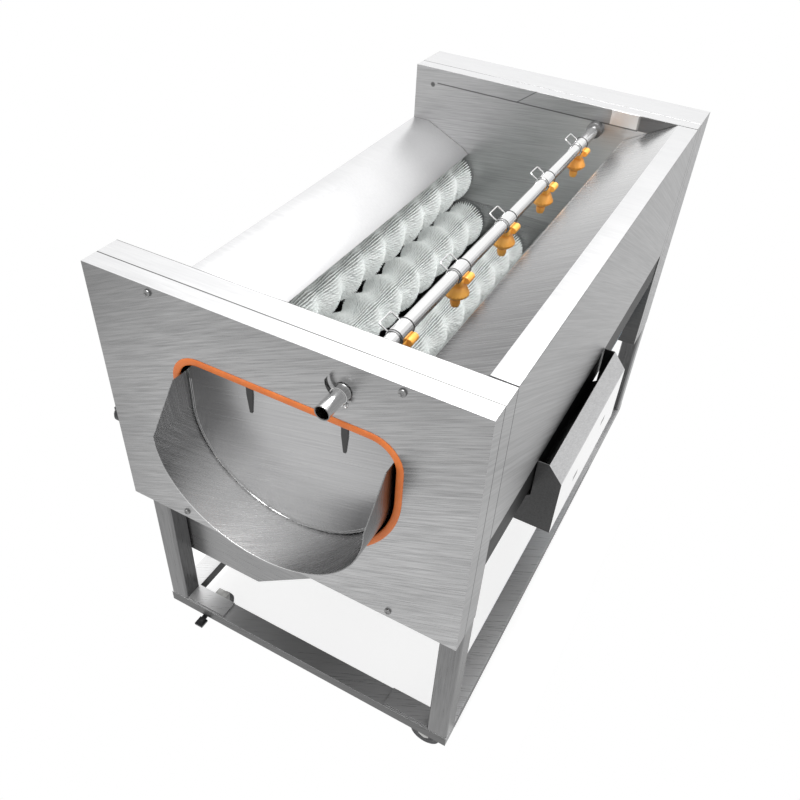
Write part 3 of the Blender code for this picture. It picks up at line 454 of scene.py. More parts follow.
# The ring's sides are painted dark as shade, its top is a lit copy with a painted highlight, and its edge
# is a painted highlight line.
ring_side = brushed_steel("ring_side", (0.95, 0, 0.3), 0.12, 0.8)
ring_top = brushed_steel("ring_top", (0.9, 0.44, 0), 0.62, 0.4, dull=0.45, marks=lit_plate)
ring_edge = brushed_steel("ring_edge", (1, 0, 0), 0.97, 0.05, dull=0.3)
shadow_steel = brushed_steel("shadow_steel", (0, 1, 0), 0.02, 0.8, 0.5)
# A pale, lit copy of the steel: a painted highlight on the tops and on the feed plate.
pale_steel = brushed_steel("pale_steel", (1, 0, 0), 0.62, 0.16, 0.34, seams=box_seams)
print("brushed steel for fourteen kinds of sheet")

# %% [markdown]
# The drawn pipe, the clamp and the nozzle collars are polished instead. Polish still has faint
# drawing lines along the pipe and a few cloudy spots, which keep a highlight from looking like
# plastic. Shafts and bearing plates are plain mild steel under a film of grease.


# %% Polished and plain steel
def polished_steel(name, along, colour, roughness):
    """The drawing lines lie along X, Y or Z, which are 0, 1 and 2."""
    finish = Finish(name, (colour,) * 3, roughness, 1.0)
    cells = [500] * 3
    cells[along] = 12
    lines = finish.noise(cells, detail=2.0)
    spots = finish.noise((60, 60, 60), detail=3.0)
    finish.set("Base Color", finish.blend(lines, (colour * 0.94,) * 3, (colour * 1.04,) * 3))
    finish.set("Roughness", spots * 0.10 + lines * 0.06 + (roughness - 0.08))
    finish.bump(lines, 0.08, 0.0003)
    return finish.material


polished_pipe = polished_steel("polished_pipe", 1, 0.74, 0.17)
polished_fittings = polished_steel("polished_fittings", 0, 0.55, 0.20)


def greased_steel():
    finish = Finish("greased_steel", (0.24, 0.24, 0.245), 0.42, 1.0)
    film = finish.noise((35, 35, 35), detail=4.0)
    stain = film.step(0.42, 0.66)
    finish.set("Base Color", finish.blend(stain, (0.30, 0.30, 0.305), (0.13, 0.115, 0.10)))
    finish.set("Roughness", stain * 0.25 + 0.30)
    finish.bump(film, 0.15, 0.0006)
    return finish.material


shaft_steel = greased_steel()
print("polished and plain steel ready")

# %% [markdown]
# The plastics and rubbers are moulded, so their detail is small: a grain a third of a millimetre
# across, paler scuffs where hands and hoses rub, and a slow change of tone from one shot of
# plastic to the next.


# %% Moulded plastic and rubber
def moulded(name, colour, deep, roughness, grain=900, scuff=0.5):
    """A plastic that changes from a deep tone to its colour, with so many pores in a metre."""
    finish = Finish(name, colour, roughness)
    pores = finish.noise((grain,) * 3, detail=1.0)
    shot = finish.noise((22, 22, 22), detail=2.0)
    rubbed = finish.noise((130, 130, 130), detail=4.0, offset=(4, 9, 2)).step(0.56, 0.72)
    body = finish.blend(shot.step(0.3, 0.7), deep, colour)
    pale = tuple(c + (1 - c) * 0.25 for c in colour)
    finish.set("Base Color", finish.blend(rubbed * (0.35 * scuff), body, pale))
    finish.set("Roughness", rubbed * 0.15 + pores * 0.12 + (roughness - 0.06))
    finish.bump(pores, 0.18, 0.0004)
    return finish.material


nozzle_plastic = moulded("orange_nozzle", (0.95, 0.47, 0.085), (0.84, 0.33, 0.045), 0.34)
trim_rubber = moulded("orange_trim", (0.88, 0.23, 0.04), (0.74, 0.17, 0.028), 0.50, grain=600)
knob_plastic = moulded("black_knob", (0.022, 0.022, 0.024), (0.014, 0.014, 0.015), 0.36)
tyre_rubber = moulded("grey_tyre", (0.075, 0.076, 0.08), (0.05, 0.05, 0.053), 0.62, grain=500, scuff=1.0)
ring_rubber = moulded("black_ring", (0.02, 0.02, 0.02), (0.012, 0.012, 0.012), 0.45)
print("plastics ready")

# %% [markdown]
# The motor hangs under the hopper and is painted. Enamel is smooth on flats, a little wavy where
# it pooled, and worn to grey primer in small chips.


# %% Motor enamel
def enamel():
    finish = Finish("motor_enamel", (0.055, 0.115, 0.165), 0.38)
    orange_peel = finish.noise((260, 260, 260), detail=1.0)
    chips = finish.noise((95, 95, 95), detail=5.0, offset=(1, 6, 3)).step(0.69, 0.72)
    finish.set("Base Color", finish.blend(chips, (0.055, 0.115, 0.165), (0.30, 0.30, 0.29)))
    finish.set("Roughness", chips * 0.3 + orange_peel * 0.08 + 0.32)
    finish.bump(orange_peel, 0.12, 0.0005)
    return finish.material


motor_paint = enamel()
print("enamel ready")

# %% [markdown]
# A folded sheet never has knife edges: the press brake rounds each bend and the deburring wheel
# breaks each cut. The drawing has sharp edges, so we copy a solid, merge its loose triangles back
# into flat faces, and let a Bevel modifier ease what is sharper than thirty degrees. Hardened
# normals keep the flats flat.


# %% A solid with eased edges
def eased(name, finish, width, segments=2, smooth=30):
    """A copy of a solid with its edges rounded by a width, in place of the solid."""
    solid = nodes[name]
    piece = shown(name + "_finished", solid.data.copy())
    open_mesh(piece)
    bpy.ops.mesh.customdata_custom_splitnormals_clear()
    bpy.ops.mesh.select_all(action="SELECT")
    bpy.ops.mesh.remove_doubles(threshold=0.000002)
    bpy.ops.mesh.dissolve_limited(angle_limit=math.radians(0.4))
    close_mesh()
    shade_smooth(piece, smooth)
    sharp = {"limit_method": "ANGLE", "angle_limit": math.radians(30)}
    apply_modifier(piece, "BEVEL", width=width, segments=segments, harden_normals=True, **sharp)
    piece.data.materials.clear()
    piece.data.materials.append(finish)
    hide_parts(name)
    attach(piece, solid["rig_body"])
    return piece


print("easing ready")

# %% [markdown]
# A sheet that is folded shows its streaks turned on every flange, and a face that looks up, or into
# the shade under the machine, mirrors something else than its neighbours do. So each sheet carries
# all the finishes that its faces may need, among them lit and shaded copies of the steel that paint a
# highlight on faces that look up and shade on faces in the dark, and a face takes one by the way it
# faces and its height.

# %% Sheets and tubes
corners = ("front_left", "front_right", "rear_left", "rear_right")
# The feed plate takes the pale steel of the tops, a painted highlight.
sheet_finish = {
    "front_cover": cover_steel, "front_box": cover_steel, "rear_box": rear_steel,
    "rear_cover": cover_steel, "side_panel_left": panel_steel, "side_panel_right": panel_steel,
    "feed_plate": pale_steel, "hopper_wall": wall_steel, "drain_hopper": hopper_steel,
    "side_trough": trough_steel, "base_ring": ring_side, "upper_rail_left": panel_steel,
    "upper_rail_right": panel_steel,
}
for corner in corners:
    sheet_finish["leg_" + corner] = leg_steel
face_finishes = (pale_steel, panel_steel, dark_steel, ring_top, ring_edge, shadow_steel)
own, pale, sideways, dark, lit_plate_top, plate_edge_highlight, shadow = range(7)


def face_slot(name, way, height):
    """The slot of a face's finish, by its sheet, the way it faces and the height of its middle."""
    # The trough's inner, upper and front faces take the steel painted dark for the shade there.
    if name == "side_trough":
        return dark if way.x < -0.3 or way.z > 0.9 or way.y < -0.5 else own
    if name == "drain_hopper" and way.x > 0.5:
        return shadow
    # The ring's top takes a painted highlight, and its sloped edge a brighter painted highlight.
    if name == "base_ring" and way.z > 0.2:
        return lit_plate_top if way.z > 0.95 else plate_edge_highlight
    # Faces that look up high on the machine take the pale steel, a painted highlight.
    if way.z > 0.97 and height > 0.9:
        return pale
    if abs(way.x) > 0.9 and height > 0.5:
        return sideways
    return own


sheet_edge, tube_edge, ring_rail_edge = 0.0007, 0.0022, 0.0032
for name, finish in sheet_finish.items():
    if name == "base_ring":
        piece = eased(name, finish, ring_rail_edge, 3)
    elif name.startswith(("leg", "upper")):
        piece = eased(name, finish, tube_edge, 3)
    else:
        piece = eased(name, finish, sheet_edge)
    for other in face_finishes:
        piece.data.materials.append(other)
    for face in piece.data.polygons:
        face.material_index = face_slot(name, face.normal, face.center.z)
print("sheets and tubes eased:", len(sheet_finish))

# %% [markdown]
# The roller shafts, the drive shaft and the two bearing plates lie inside the boxes and the brushes,
# where little light falls. They keep the drawing's shape with its edges broken.

# %% Bearing plates and shafts
for name in ("front_bearing_plate", "rear_bearing_plate"):
    eased(name, shaft_steel, 0.0012)
for number in (1, 2, 3):
    eased(f"roller_shaft_{number}", shaft_steel, 0.0004)
eased("drive_shaft", shaft_steel, 0.0004)
print("shafts eased")

# %% [markdown]
# Turned pieces are made as on a lathe. One point is extruded from place to place along half of the
# piece's outline, and Spin sweeps that outline about the axis. Spin leaves a seam and may turn the
# shape inside out, so the seam is merged and the normals are made to point outwards. The other
# helpers round the corners of a path, join pieces, copy one, and bend a wire along a path.


# %% Lathe and wire helpers
def turned(name, outline, axis, centre, finish, steps=40, smooth=32):
    """The outline is a list of (radius, along) pairs; it closes on itself or ends on the axis."""
    along = Vector([axis == "X", axis == "Y", axis == "Z"])
    outwards = Vector((0, 0, 1)) if axis != "Z" else Vector((1, 0, 0))
    points = [Vector(centre) + along * a + outwards * r for r, a in outline]
    select_nothing()
    bpy.ops.mesh.primitive_plane_add(size=0.0001, location=points[0])
    piece = bpy.context.object
    piece.name = name
    settle(piece)
    bpy.ops.object.mode_set(mode="EDIT")
    bpy.ops.mesh.select_mode(type="VERT")
    bpy.ops.mesh.select_all(action="SELECT")
    bpy.ops.mesh.merge(type="CENTER")
    for near, far in zip(points, points[1:]):
        bpy.ops.mesh.extrude_vertices_move(TRANSFORM_OT_translate={"value": far - near})
    bpy.ops.mesh.select_all(action="SELECT")
    bpy.ops.mesh.spin(steps=steps, angle=math.tau, center=centre, axis=along)
    bpy.ops.mesh.select_all(action="SELECT")
    bpy.ops.mesh.remove_doubles(threshold=0.000004)
    bpy.ops.mesh.normals_make_consistent(inside=False)
    close_mesh()
    shade_smooth(piece, smooth)
    piece.data.materials.append(finish)
    return piece


def rounded(outline, corner, steps=5):
    """Rounds the inner corners of an open outline of pairs or points."""
    path = [Vector(p) for p in outline]
    made = [path[0]]
    for before, here, after in zip(path, path[1:], path[2:]):
        reach = min(corner, (here - before).length * 0.45, (after - here).length * 0.45)
        start = here + (before - here).normalized() * reach
        end = here + (after - here).normalized() * reach
        for i in range(steps + 1):
            t = i / steps
            made.append((1 - t) ** 2 * start + 2 * t * (1 - t) * here + t * t * end)
    return made + [path[-1]]


def join(pieces, name):
    """Joins pieces into the first, which keeps all their materials."""
    select_nothing()
    for piece in pieces:
        piece.select_set(True)
    bpy.context.view_layer.objects.active = pieces[0]
    bpy.ops.object.join()
    pieces[0].name = name
    return pieces[0]


def again(piece, name, offset):
    """A copy with its own mesh, moved by an offset that goes into the mesh."""
    copy = shown(name, piece.data.copy())
    copy.data.transform(Matrix.Translation(offset))
    return copy


def wire(name, points, radius, finish, sides=3):
    """A bent wire: a curve through the points with a round section, made a mesh."""
    curve = bpy.data.curves.new(name, "CURVE")
    curve.dimensions = "3D"
    curve.bevel_depth = radius
    curve.bevel_resolution = sides
    curve.use_fill_caps = True
    spline = curve.splines.new("POLY")
    spline.points.add(len(points) - 1)
    for point, where in zip(spline.points, points):
        point.co = (*where, 1)
    take(shown(name, curve))
    bpy.ops.object.convert(target="MESH")
    piece = bpy.context.object
    shade_smooth(piece, 45)
    piece.data.materials.append(finish)
    return piece


print("lathe and wire helpers ready")

# %% [markdown]
# The spray pipe is one drawn tube of 27 mm with a rolled end. It runs through the front cover,
# under the hose clamp, and ends in a socket on the rear wall. The outline is closed, so the turned
# piece has a wall and a bore. The socket and the pipe's front rim are of a darker steel.

# %% Spray pipe
pipe_low, pipe_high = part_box("spray_pipe")
pipe_axis = Vector(((pipe_low.x + pipe_high.x) / 2, 0, (pipe_low.z + pipe_high.z) / 2))
pipe_radius = 0.0135
front_end, rear_end = pipe_low.y, pipe_high.y
socket_start = rear_end - 0.0226
pipe_outline = [
    (0.0116, front_end + 0.0008), (0.0122, front_end), (0.0131, front_end),
    (pipe_radius, front_end + 0.0005), (pipe_radius, socket_start), (0.0165, rear_end - 0.0220),
    (0.0192, rear_end - 0.0208), (0.0200, rear_end - 0.0190), (0.0200, rear_end - 0.0060),
    (0.0196, rear_end - 0.0055), (0.0196, rear_end), (0.0116, rear_end), (0.0116, front_end + 0.0008),
]
spray_pipe = turned("spray_pipe_drawn", pipe_outline, "Y", pipe_axis, polished_pipe, 48)
spray_pipe.data.materials.append(polished_steel("socket_steel", 1, 0.22, 0.3))
for face in spray_pipe.data.polygons:
    if face.center.y > socket_start or face.center.y < front_end + 0.0004:
        face.material_index = 1
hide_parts("spray_pipe")
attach(spray_pipe, "frame")
print("spray pipe", round(rear_end - front_end, 3), "m long")

# %% [markdown]
# The hose clamp is a slotted band with rolled edges, a worm screw in its housing under the pipe and
# the free tail of the band, which curls away from the pipe on the left.

# %% Hose clamp
clamp_low, clamp_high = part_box("hose_clamp")
clamp_y = (clamp_low.y + clamp_high.y) / 2
band_outline = [
    (0.01385, -0.0064), (0.0150, -0.0064), (0.0154, -0.0060), (0.0150, -0.0050), (0.0150, 0.0050),
    (0.0154, 0.0060), (0.0150, 0.0064), (0.01385, 0.0064), (0.01385, -0.0064),
]
band_centre = Vector((pipe_axis.x, clamp_y, pipe_axis.z))
clamp_band = turned("clamp_band", band_outline, "Y", band_centre, polished_fittings, 48)

housing_centre = band_centre - Vector((0, 0, 0.0172))
select_nothing()
bpy.ops.mesh.primitive_cube_add(size=1, location=housing_centre, scale=(0.015, 0.0105, 0.0075))
clamp_housing = settle(bpy.context.object)
open_mesh(clamp_housing)
bpy.ops.mesh.select_all(action="SELECT")
bpy.ops.mesh.bevel(offset=0.0022, segments=3)
pick(clamp_housing, "FACE", lambda spot, way: abs(way.x) > 0.99)
bpy.ops.mesh.inset(thickness=0.0009, depth=-0.0006)
close_mesh()
clamp_housing.data.materials.append(polished_fittings)

screw_end = band_centre + Vector((0.0075, 0, -0.0175))
screw_outline = [
    (0.0, -0.0190), (0.0030, -0.0190), (0.0030, 0.0008), (0.0044, 0.0010), (0.0044, 0.0050),
    (0.0036, 0.0054), (0.0, 0.0054),
]
clamp_screw = turned("clamp_screw", screw_outline, "X", screw_end, polished_fittings, 12, 40)
open_mesh(clamp_screw)
pick(clamp_screw, "FACE", lambda spot, way: way.x > 0.9 and abs(spot.y - clamp_y) < 0.0011)
bpy.ops.mesh.extrude_region_move(TRANSFORM_OT_translate={"value": (-0.0010, 0, 0)})
close_mesh()

tail_steps, tail_width = 12, 0.008
tail_points = []
for i in range(tail_steps + 1):
    share = i / tail_steps
    turn = math.radians(200 - 66 * i / tail_steps)
    reach = 0.0157 + 0.0125 * share ** 1.4
    across = reach * math.cos(turn) - 0.006 * i / tail_steps
    tail_points.append(band_centre + Vector((across, 0, reach * math.sin(turn))))
select_nothing()
bpy.ops.mesh.primitive_plane_add(size=1, location=tail_points[0])
clamp_tail = bpy.context.object
clamp_tail.scale = (0.00001, tail_width, 1)
settle(clamp_tail)
open_mesh(clamp_tail)
bpy.ops.mesh.select_all(action="SELECT")
bpy.ops.mesh.remove_doubles(threshold=0.00005)
pick(clamp_tail, "EDGE", lambda start, end: True)
for near, far in zip(tail_points, tail_points[1:]):
    bpy.ops.mesh.extrude_region_move(TRANSFORM_OT_translate={"value": far - near})
close_mesh()
apply_modifier(clamp_tail, "SOLIDIFY", thickness=0.0007, offset=0)
shade_smooth(clamp_tail, 35)
clamp_tail.data.materials.append(polished_steel("clamp_tail_steel", 1, 0.26, 0.3))

hose_clamp = join([clamp_band, clamp_housing, clamp_screw, clamp_tail], "hose_clamp_worm")
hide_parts("hose_clamp")
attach(hose_clamp, "frame")
print("hose clamp", len(hose_clamp.data.polygons), "faces")

# %% [markdown]
# A nozzle hangs on the pipe by a collar. Two dark rings seal the collar's ends, a square wire bail
# holds it from the left, and the orange body under it carries a ribbed nut with a ball tip. One
# nozzle is modelled about its own place on the pipe and copied to the other four.

# %% Nozzle collar and bail
clip_low, clip_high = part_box("nozzle_clip_1")
first_nozzle = Vector((pipe_axis.x, (clip_low.y + clip_high.y) / 2, pipe_axis.z))
half_clip = (clip_high.y - clip_low.y) / 2
nozzle_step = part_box("nozzle_clip_2")[0].y - clip_low.y
collar_outline = [
    (0.01385, -half_clip + 0.0006), (0.0152, -half_clip + 0.0006), (0.0158, -half_clip + 0.0012),
    (0.0158, -half_clip + 0.0016), (0.0158, half_clip - 0.0016), (0.0158, half_clip - 0.0012),
    (0.0152, half_clip - 0.0006), (0.01385, half_clip - 0.0006), (0.01385, -half_clip + 0.0006),
]
collar = turned("collar", collar_outline, "Y", first_nozzle, polished_pipe, 48)
seals = []
for side in (-1, 1):
    near = side * half_clip - side * 0.0026
    seal_outline = [
        (0.01583, near - 0.0013), (0.0162, near - 0.0013), (0.0165, near - 0.0008), (0.0165, near + 0.0008),
        (0.0162, near + 0.0013), (0.01583, near + 0.0013), (0.01583, near - 0.0013),
    ]
    seals.append(turned("seal", seal_outline, "Y", first_nozzle, ring_rubber))
bail_turn = Matrix.Rotation(math.radians(31), 4, "Y")
bail_corners = [(-0.0148, -0.0205, 0), (-0.0353, -0.0205, 0), (-0.0353, 0.0205, 0), (-0.0148, 0.0205, 0)]
bail_path = [first_nozzle + bail_turn @ point for point in rounded(bail_corners, 0.0050)]
bail = wire("bail", bail_path, 0.0017, polished_pipe)
clip = join([collar, *seals, bail], "nozzle_clip_drawn_1")
print("collar and bail", len(clip.data.polygons), "faces")

# %% [markdown]
# The body starts as a block under the collar, bevelled and hollowed to the pipe by a cylinder. The
# neck and nut are turned; the nut gets its grip ribs by insetting every second face of its rim. A
# small round boss stands beside the block.

# %% Nozzle body
select_nothing()
bpy.ops.mesh.primitive_cube_add(
    size=1, location=first_nozzle + Vector((0, 0, -0.0142)), scale=(0.0330, 0.0385, 0.0165)
)
saddle = settle(bpy.context.object)
open_mesh(saddle)
bpy.ops.mesh.select_all(action="SELECT")
bpy.ops.mesh.bevel(offset=0.0035, segments=3)
close_mesh()
select_nothing()
bpy.ops.mesh.primitive_cylinder_add(
    vertices=40, radius=0.0168, depth=0.1, location=first_nozzle, rotation=(math.radians(90), 0, 0)
)
seat_cutter = settle(bpy.context.object)
apply_modifier(saddle, "BOOLEAN", operation="DIFFERENCE", solver="EXACT", object=seat_cutter)
bpy.data.objects.remove(seat_cutter, do_unlink=True)
saddle.data.materials.clear()
saddle.data.materials.append(nozzle_plastic)
shade_smooth(saddle, 35)

neck_outline = [
    (0.0, -0.0190), (0.0122, -0.0190), (0.0125, -0.0240), (0.0150, -0.0262), (0.0180, -0.0288),
    (0.0190, -0.0306), (0.0236, -0.0408), (0.0240, -0.0424), (0.0240, -0.0474), (0.0232, -0.0490),
    (0.0190, -0.0528), (0.0158, -0.0556), (0.0146, -0.0562), (0.0098, -0.0560),
    (0.0104, -0.0500), (0.0088, -0.0445), (0.0, -0.0390),
]
neck_sides = 40
body = turned("nozzle_neck", neck_outline, "Z", first_nozzle, nozzle_plastic, neck_sides, 38)
rim_height, rim_reach = first_nozzle.z - 0.0449, 0.022


def every_second_rim_face(spot, way):
    away = spot - first_nozzle
    if abs(spot.z - rim_height) > 0.004 or abs(way.z) > 0.2 or away.xy.length < rim_reach:
        return False
    side = math.atan2(away.y, away.x) / math.tau * neck_sides
    return round(side - 0.5) % 2 == 0


open_mesh(body)
ribs = pick(body, "FACE", every_second_rim_face)
bpy.ops.mesh.inset(thickness=0.0003, depth=0.0011, use_individual=True)
close_mesh()

boss_outline = [
    (0.0, -0.0250), (0.0066, -0.0250), (0.0078, -0.0238), (0.0080, -0.0225), (0.0080, -0.0020),
    (0.0074, -0.0006), (0.0062, 0.0), (0.0034, 0.0), (0.0030, -0.0012), (0.0, -0.0012),
]
boss_at = first_nozzle + Vector((0.0190, 0.0190, -0.0120))
boss = turned("saddle_boss", boss_outline, "Y", boss_at, nozzle_plastic, 24, 40)
body = join([body, saddle, boss], "nozzle_body_moulded_1")
print("nozzle body", len(body.data.polygons), "faces,", ribs, "ribs")

# %% [markdown]
# The tip is a ball that sits in the body, a short neck, and a barrel with a dished spray face and a
# bore.

# %% Nozzle tip and the copies
tip_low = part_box("nozzle_tip_1")[0]
ball_radius = 0.0095
ball_z = -0.056 + ball_radius * 0.75
tip_drop = tip_low.z - first_nozzle.z
tip_outline = [(0.0, ball_z + 0.0092)]
ball_steps = 8
for i in range(1, ball_steps + 1):
    lift = math.radians(78 - 130 * i / ball_steps)
    tip_outline.append((ball_radius * math.cos(lift), ball_z + ball_radius * math.sin(lift)))
tip_outline += [
    (0.0047, ball_z - 0.0088), (0.0047, ball_z - 0.0112), (0.0092, ball_z - 0.0118),
    (0.0100, ball_z - 0.0130), (0.0098, ball_z - 0.0210), (0.0088, ball_z - 0.0232),
    (0.0080, tip_drop + 0.0006), (0.0074, tip_drop), (0.0052, tip_drop), (0.0040, tip_drop + 0.0022),
    (0.0024, tip_drop + 0.0028), (0.0022, tip_drop + 0.0120), (0.0, tip_drop + 0.0120),
]
tip = turned("nozzle_tip_moulded_1", tip_outline, "Z", first_nozzle, nozzle_plastic, 32, 38)
for number in range(1, 6):
    offset = Vector((0, (number - 1) * nozzle_step, 0))
    for first, family, bodies, slot in (
        (clip, "nozzle_clip", "frame", "bright_steel"),
        (body, "nozzle_body", "frame", "orange_plastic"),
        (tip, "nozzle_tip", f"nozzle_aim_{number}", "orange_plastic"),
    ):
        name = first.name[:-1] + str(number)
        piece = first if number == 1 else again(first, name, offset)
        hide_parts(f"{family}_{number}")
        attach(piece, bodies)
print("five nozzles", round(nozzle_step, 3), "m apart")

# %% [markdown]
# The outlet is a U with a straight top. Its opening in the cover is edged with an orange rubber
# section, its chute is one bent sheet, and the beads of its gate follow the same curve. All of them
# come from one outline, drawn here with many more points than the drawing has.

# %% The outlet's outline
chute_low, chute_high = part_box("discharge_chute")
gate_low, gate_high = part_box("discharge_gate")
outlet_x = (chute_low.x + chute_high.x) / 2 - middle.x
outlet_z = 0.840
half_chute = (chute_high.x - chute_low.x) / 2


def half_round(half_span, fall, steps=48):
    """The lower half of the U, from its left end to its right one."""
    points = []
    for i in range(steps + 1):
        angle = math.pi + math.pi * i / steps
        points.append((outlet_x + half_span * math.cos(angle), outlet_z + fall * math.sin(angle)))
    return points


def closed_outlet(half_span, fall, top, corner, corner_steps=8):
    """The whole opening: the U and a straight top with rounded corners."""
    points = half_round(half_span, fall)
    for side in (1, -1):
        arc = []
        for i in range(corner_steps + 1):
            angle = math.pi / 2 * i / corner_steps
            x = outlet_x + side * (half_span - corner + corner * math.cos(angle))
            arc.append((x, top - corner + corner * math.sin(angle)))
        points += arc if side > 0 else arc[::-1]
    return points


print("outlet middle", round(outlet_x, 4), "half width", round(half_chute, 4))

# %% [markdown]
# The rubber trim is a soft section pushed over the sheet's edge. A bevelled curve would give it a
# round section, so the section's points are set out at every point of the opening, square to the
# path, and faces join each ring of points to the next.

# %% Rubber trim
opening_half_span, opening_fall, opening_top, opening_corner = 0.223, 0.206, 0.961, 0.055
trim_path = closed_outlet(opening_half_span, opening_fall, opening_top, opening_corner)
trim_middle_y = 0.001
trim_half_width, trim_half_depth, trim_squareness = 0.0068, 0.0039, 0.7
section_points = 16


def squared(value):
    """Pushes a sine or cosine outwards, which makes a circle a soft square."""
    return math.copysign(abs(value) ** trim_squareness, value)


section = []
for i in range(section_points):
    turn = math.tau * i / section_points
    section.append((trim_half_width * squared(math.cos(turn)), trim_half_depth * squared(math.sin(turn))))
trim_mesh = bmesh.new()
trim_rings = []
count = len(trim_path)
for i, (x, z) in enumerate(trim_path):
    ahead = Vector(trim_path[(i + 1) % count]) - Vector(trim_path[i - 1])
    out = Vector((ahead.y, -ahead.x)).normalized()
    ring = [trim_mesh.verts.new(at(x + out.x * g, trim_middle_y + a, z + out.y * g)) for g, a in section]
    trim_rings.append(ring)
for near, far in zip(trim_rings, trim_rings[1:] + trim_rings[:1]):
    for k in range(section_points):
        m = (k + 1) % section_points
        trim_mesh.faces.new((near[k], near[m], far[m], far[k]))
bmesh.ops.recalc_face_normals(trim_mesh, faces=trim_mesh.faces)
trim_data = bpy.data.meshes.new("opening_trim_rubber")
trim_mesh.to_mesh(trim_data)
trim_mesh.free()
trim = shown("opening_trim_rubber", trim_data)
take(trim)
bpy.ops.object.shade_smooth()
trim_data.materials.append(trim_rubber)
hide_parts("opening_trim")
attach(trim, "frame")
print("trim", len(trim_data.polygons), "faces")

# %% [markdown]
# The chute is a flat strip bent round the U and cut on a slant, from a low lip to a corner just
# before the cover's face, behind which its sides stand full height. Rows of points are set along the
# machine and joined by faces, Solidify gives the sheet its thickness outwards, and Bevel eases its
# edges. Its flat map is the blank as it was before bending, so that the streaks go round with it.

# %% Discharge chute
sheet_thickness = 0.002
chute_inside = half_chute - sheet_thickness
chute_bend = half_round(chute_inside, 0.194)


def chute_row(height):
    """The bend between two straight sides that end at a height."""
    return [(outlet_x - chute_inside, height)] + chute_bend + [(outlet_x + chute_inside, height)]


lip_points, back_points = chute_row(0.843), chute_row(chute_high.z)
chute_back_y = chute_high.y - middle.y
chute_front_y = chute_low.y - middle.y
chute_corner_y = -0.024
chute_mesh = bmesh.new()
rows = []
for y in (chute_front_y, -0.080, -0.060, -0.042, chute_corner_y, 0.010, 0.045, chute_back_y):
    share = min((y - chute_front_y) / (chute_corner_y - chute_front_y), 1)
    row = []
    for near, far in zip(lip_points, back_points):
        row.append(chute_mesh.verts.new(at(near[0], y, near[1] + (far[1] - near[1]) * share)))
    rows.append(row)
flat_blank = chute_mesh.loops.layers.uv.new("flat_blank")
unrolled = [0.0]
for near, far in zip(lip_points, lip_points[1:]):
    unrolled.append(unrolled[-1] + (Vector(far) - Vector(near)).length)
for near, far in zip(rows, rows[1:]):
    for k in range(len(near) - 1):
        face = chute_mesh.faces.new((near[k], far[k], far[k + 1], near[k + 1]))
        for loop, m in zip(face.loops, (k, k, k + 1, k + 1)):
            loop[flat_blank].uv = (unrolled[m], loop.vert.co.y)
chute_data = bpy.data.meshes.new("discharge_chute_rolled")
chute_mesh.to_mesh(chute_data)
chute_mesh.free()
chute = shown("discharge_chute_rolled", chute_data)
apply_modifier(chute, "SOLIDIFY", thickness=sheet_thickness, offset=-1)
shade_smooth(chute, 35)
sharp = {"limit_method": "ANGLE", "angle_limit": math.radians(50)}
apply_modifier(chute, "BEVEL", width=0.0006, segments=2, harden_normals=True, **sharp)
chute.data.materials.append(chute_steel)
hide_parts("discharge_chute")
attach(chute, "frame")
print("chute", len(chute.data.polygons), "faces")

# %% [markdown]
# The gate is a plate with a fine double bead near its edge, made of two thin wires. It hangs from a
# rod by a rolled knuckle and two tapered straps, which are coloured much darker than the plate. Its
# plate lies just behind the opening, so its upper left corner is painted in shade.

# %% Discharge gate
gate_finish = brushed_steel("gate_steel", (0.97, 0, 0.25), 0.46, 0.4, 0.24, 2.0, marks=dark_corner)
strap_steel = polished_steel("dark_strap", 2, 0.07, 0.40)
gate = eased("discharge_gate", gate_finish, 0.0005)
gate.data.materials.append(strap_steel)
strap_back, strap_top = gate_low.y + 0.0078, gate_high.z - 0.008
strap_faces = 0
for face in gate.data.polygons:
    if face.center.y < strap_back and face.center.z < strap_top:
        face.material_index = 1
        strap_faces += 1
plate_front, bead_top, bead_radius = 0.0138, 0.905, 0.0007
bead_steel = polished_steel("bead_steel", 0, 0.42, 0.55)
beads = []
for inset in (0.0020, 0.0060):
    half_span = (gate_high.x - gate_low.x) / 2 - inset
    fall = outlet_z - gate_low.z - inset
    bead_path = [(outlet_x - half_span, bead_top)] + half_round(half_span, fall, 72)
    bead_path.append((outlet_x + half_span, bead_top))
    bead_points = [at(x, plate_front, z) for x, z in bead_path]
    beads.append(wire("gate_bead", bead_points, bead_radius, bead_steel, 2))
gate = join([gate, *beads], "discharge_gate_finished")
print("gate", strap_faces, "strap faces and", len(beads), "beads")

# %% [markdown]
# The brush rollers are the machine's heart. Nylon tufts are punched into a core in close rows and
# trimmed to a lobe that winds round the roller with a pitch of 100 mm, so the roller is a coarse
# screw. No operator places tufts on a trimmed helix, so this piece is made from its formula: the
# height of the pile at a turn and a length is written once, a bed of short fibre, painted darker for
# the shade deep in the pile, follows it, and tufts of three blunt fibres stand through the bed with a
# little scatter.

# %% Pile of the brushes
# The bed lies below the pile, a fibre starts deeper and ends higher, and no tip passes the last value.
lobe_pitch = 0.100
mean_pile, lobe_height = 0.046, 0.008
bed_depth, root_depth, tip_rise, farthest_tip = 0.0105, 0.0150, 0.0090, 0.0658
tuft_rows, tufts_round, fibres = 280, 54, 3
brush_low, brush_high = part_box("brush_1")
brush_long = brush_high.y - brush_low.y


def pile_height(angle, along):
    """How far the pile reaches from the roller's axis at a turn and a length along it."""
    return mean_pile + lobe_height * np.cos(angle - math.tau * along / lobe_pitch)


print("brush", round(brush_long, 4), "m long,", tuft_rows * tufts_round, "tufts")

# %% [markdown]
# A fibre is pale and lets light through at its tip, and is painted darker near its root, where its
# neighbours shade it. Each mesh of fibres carries an attribute that says how far up the fibre a point
# is, and the colour, a faint painted glow that lifts the tips out of the tank's shade, and the light
# that shines through follow it. The bed is rougher and painted darker for the shade deep in the pile.

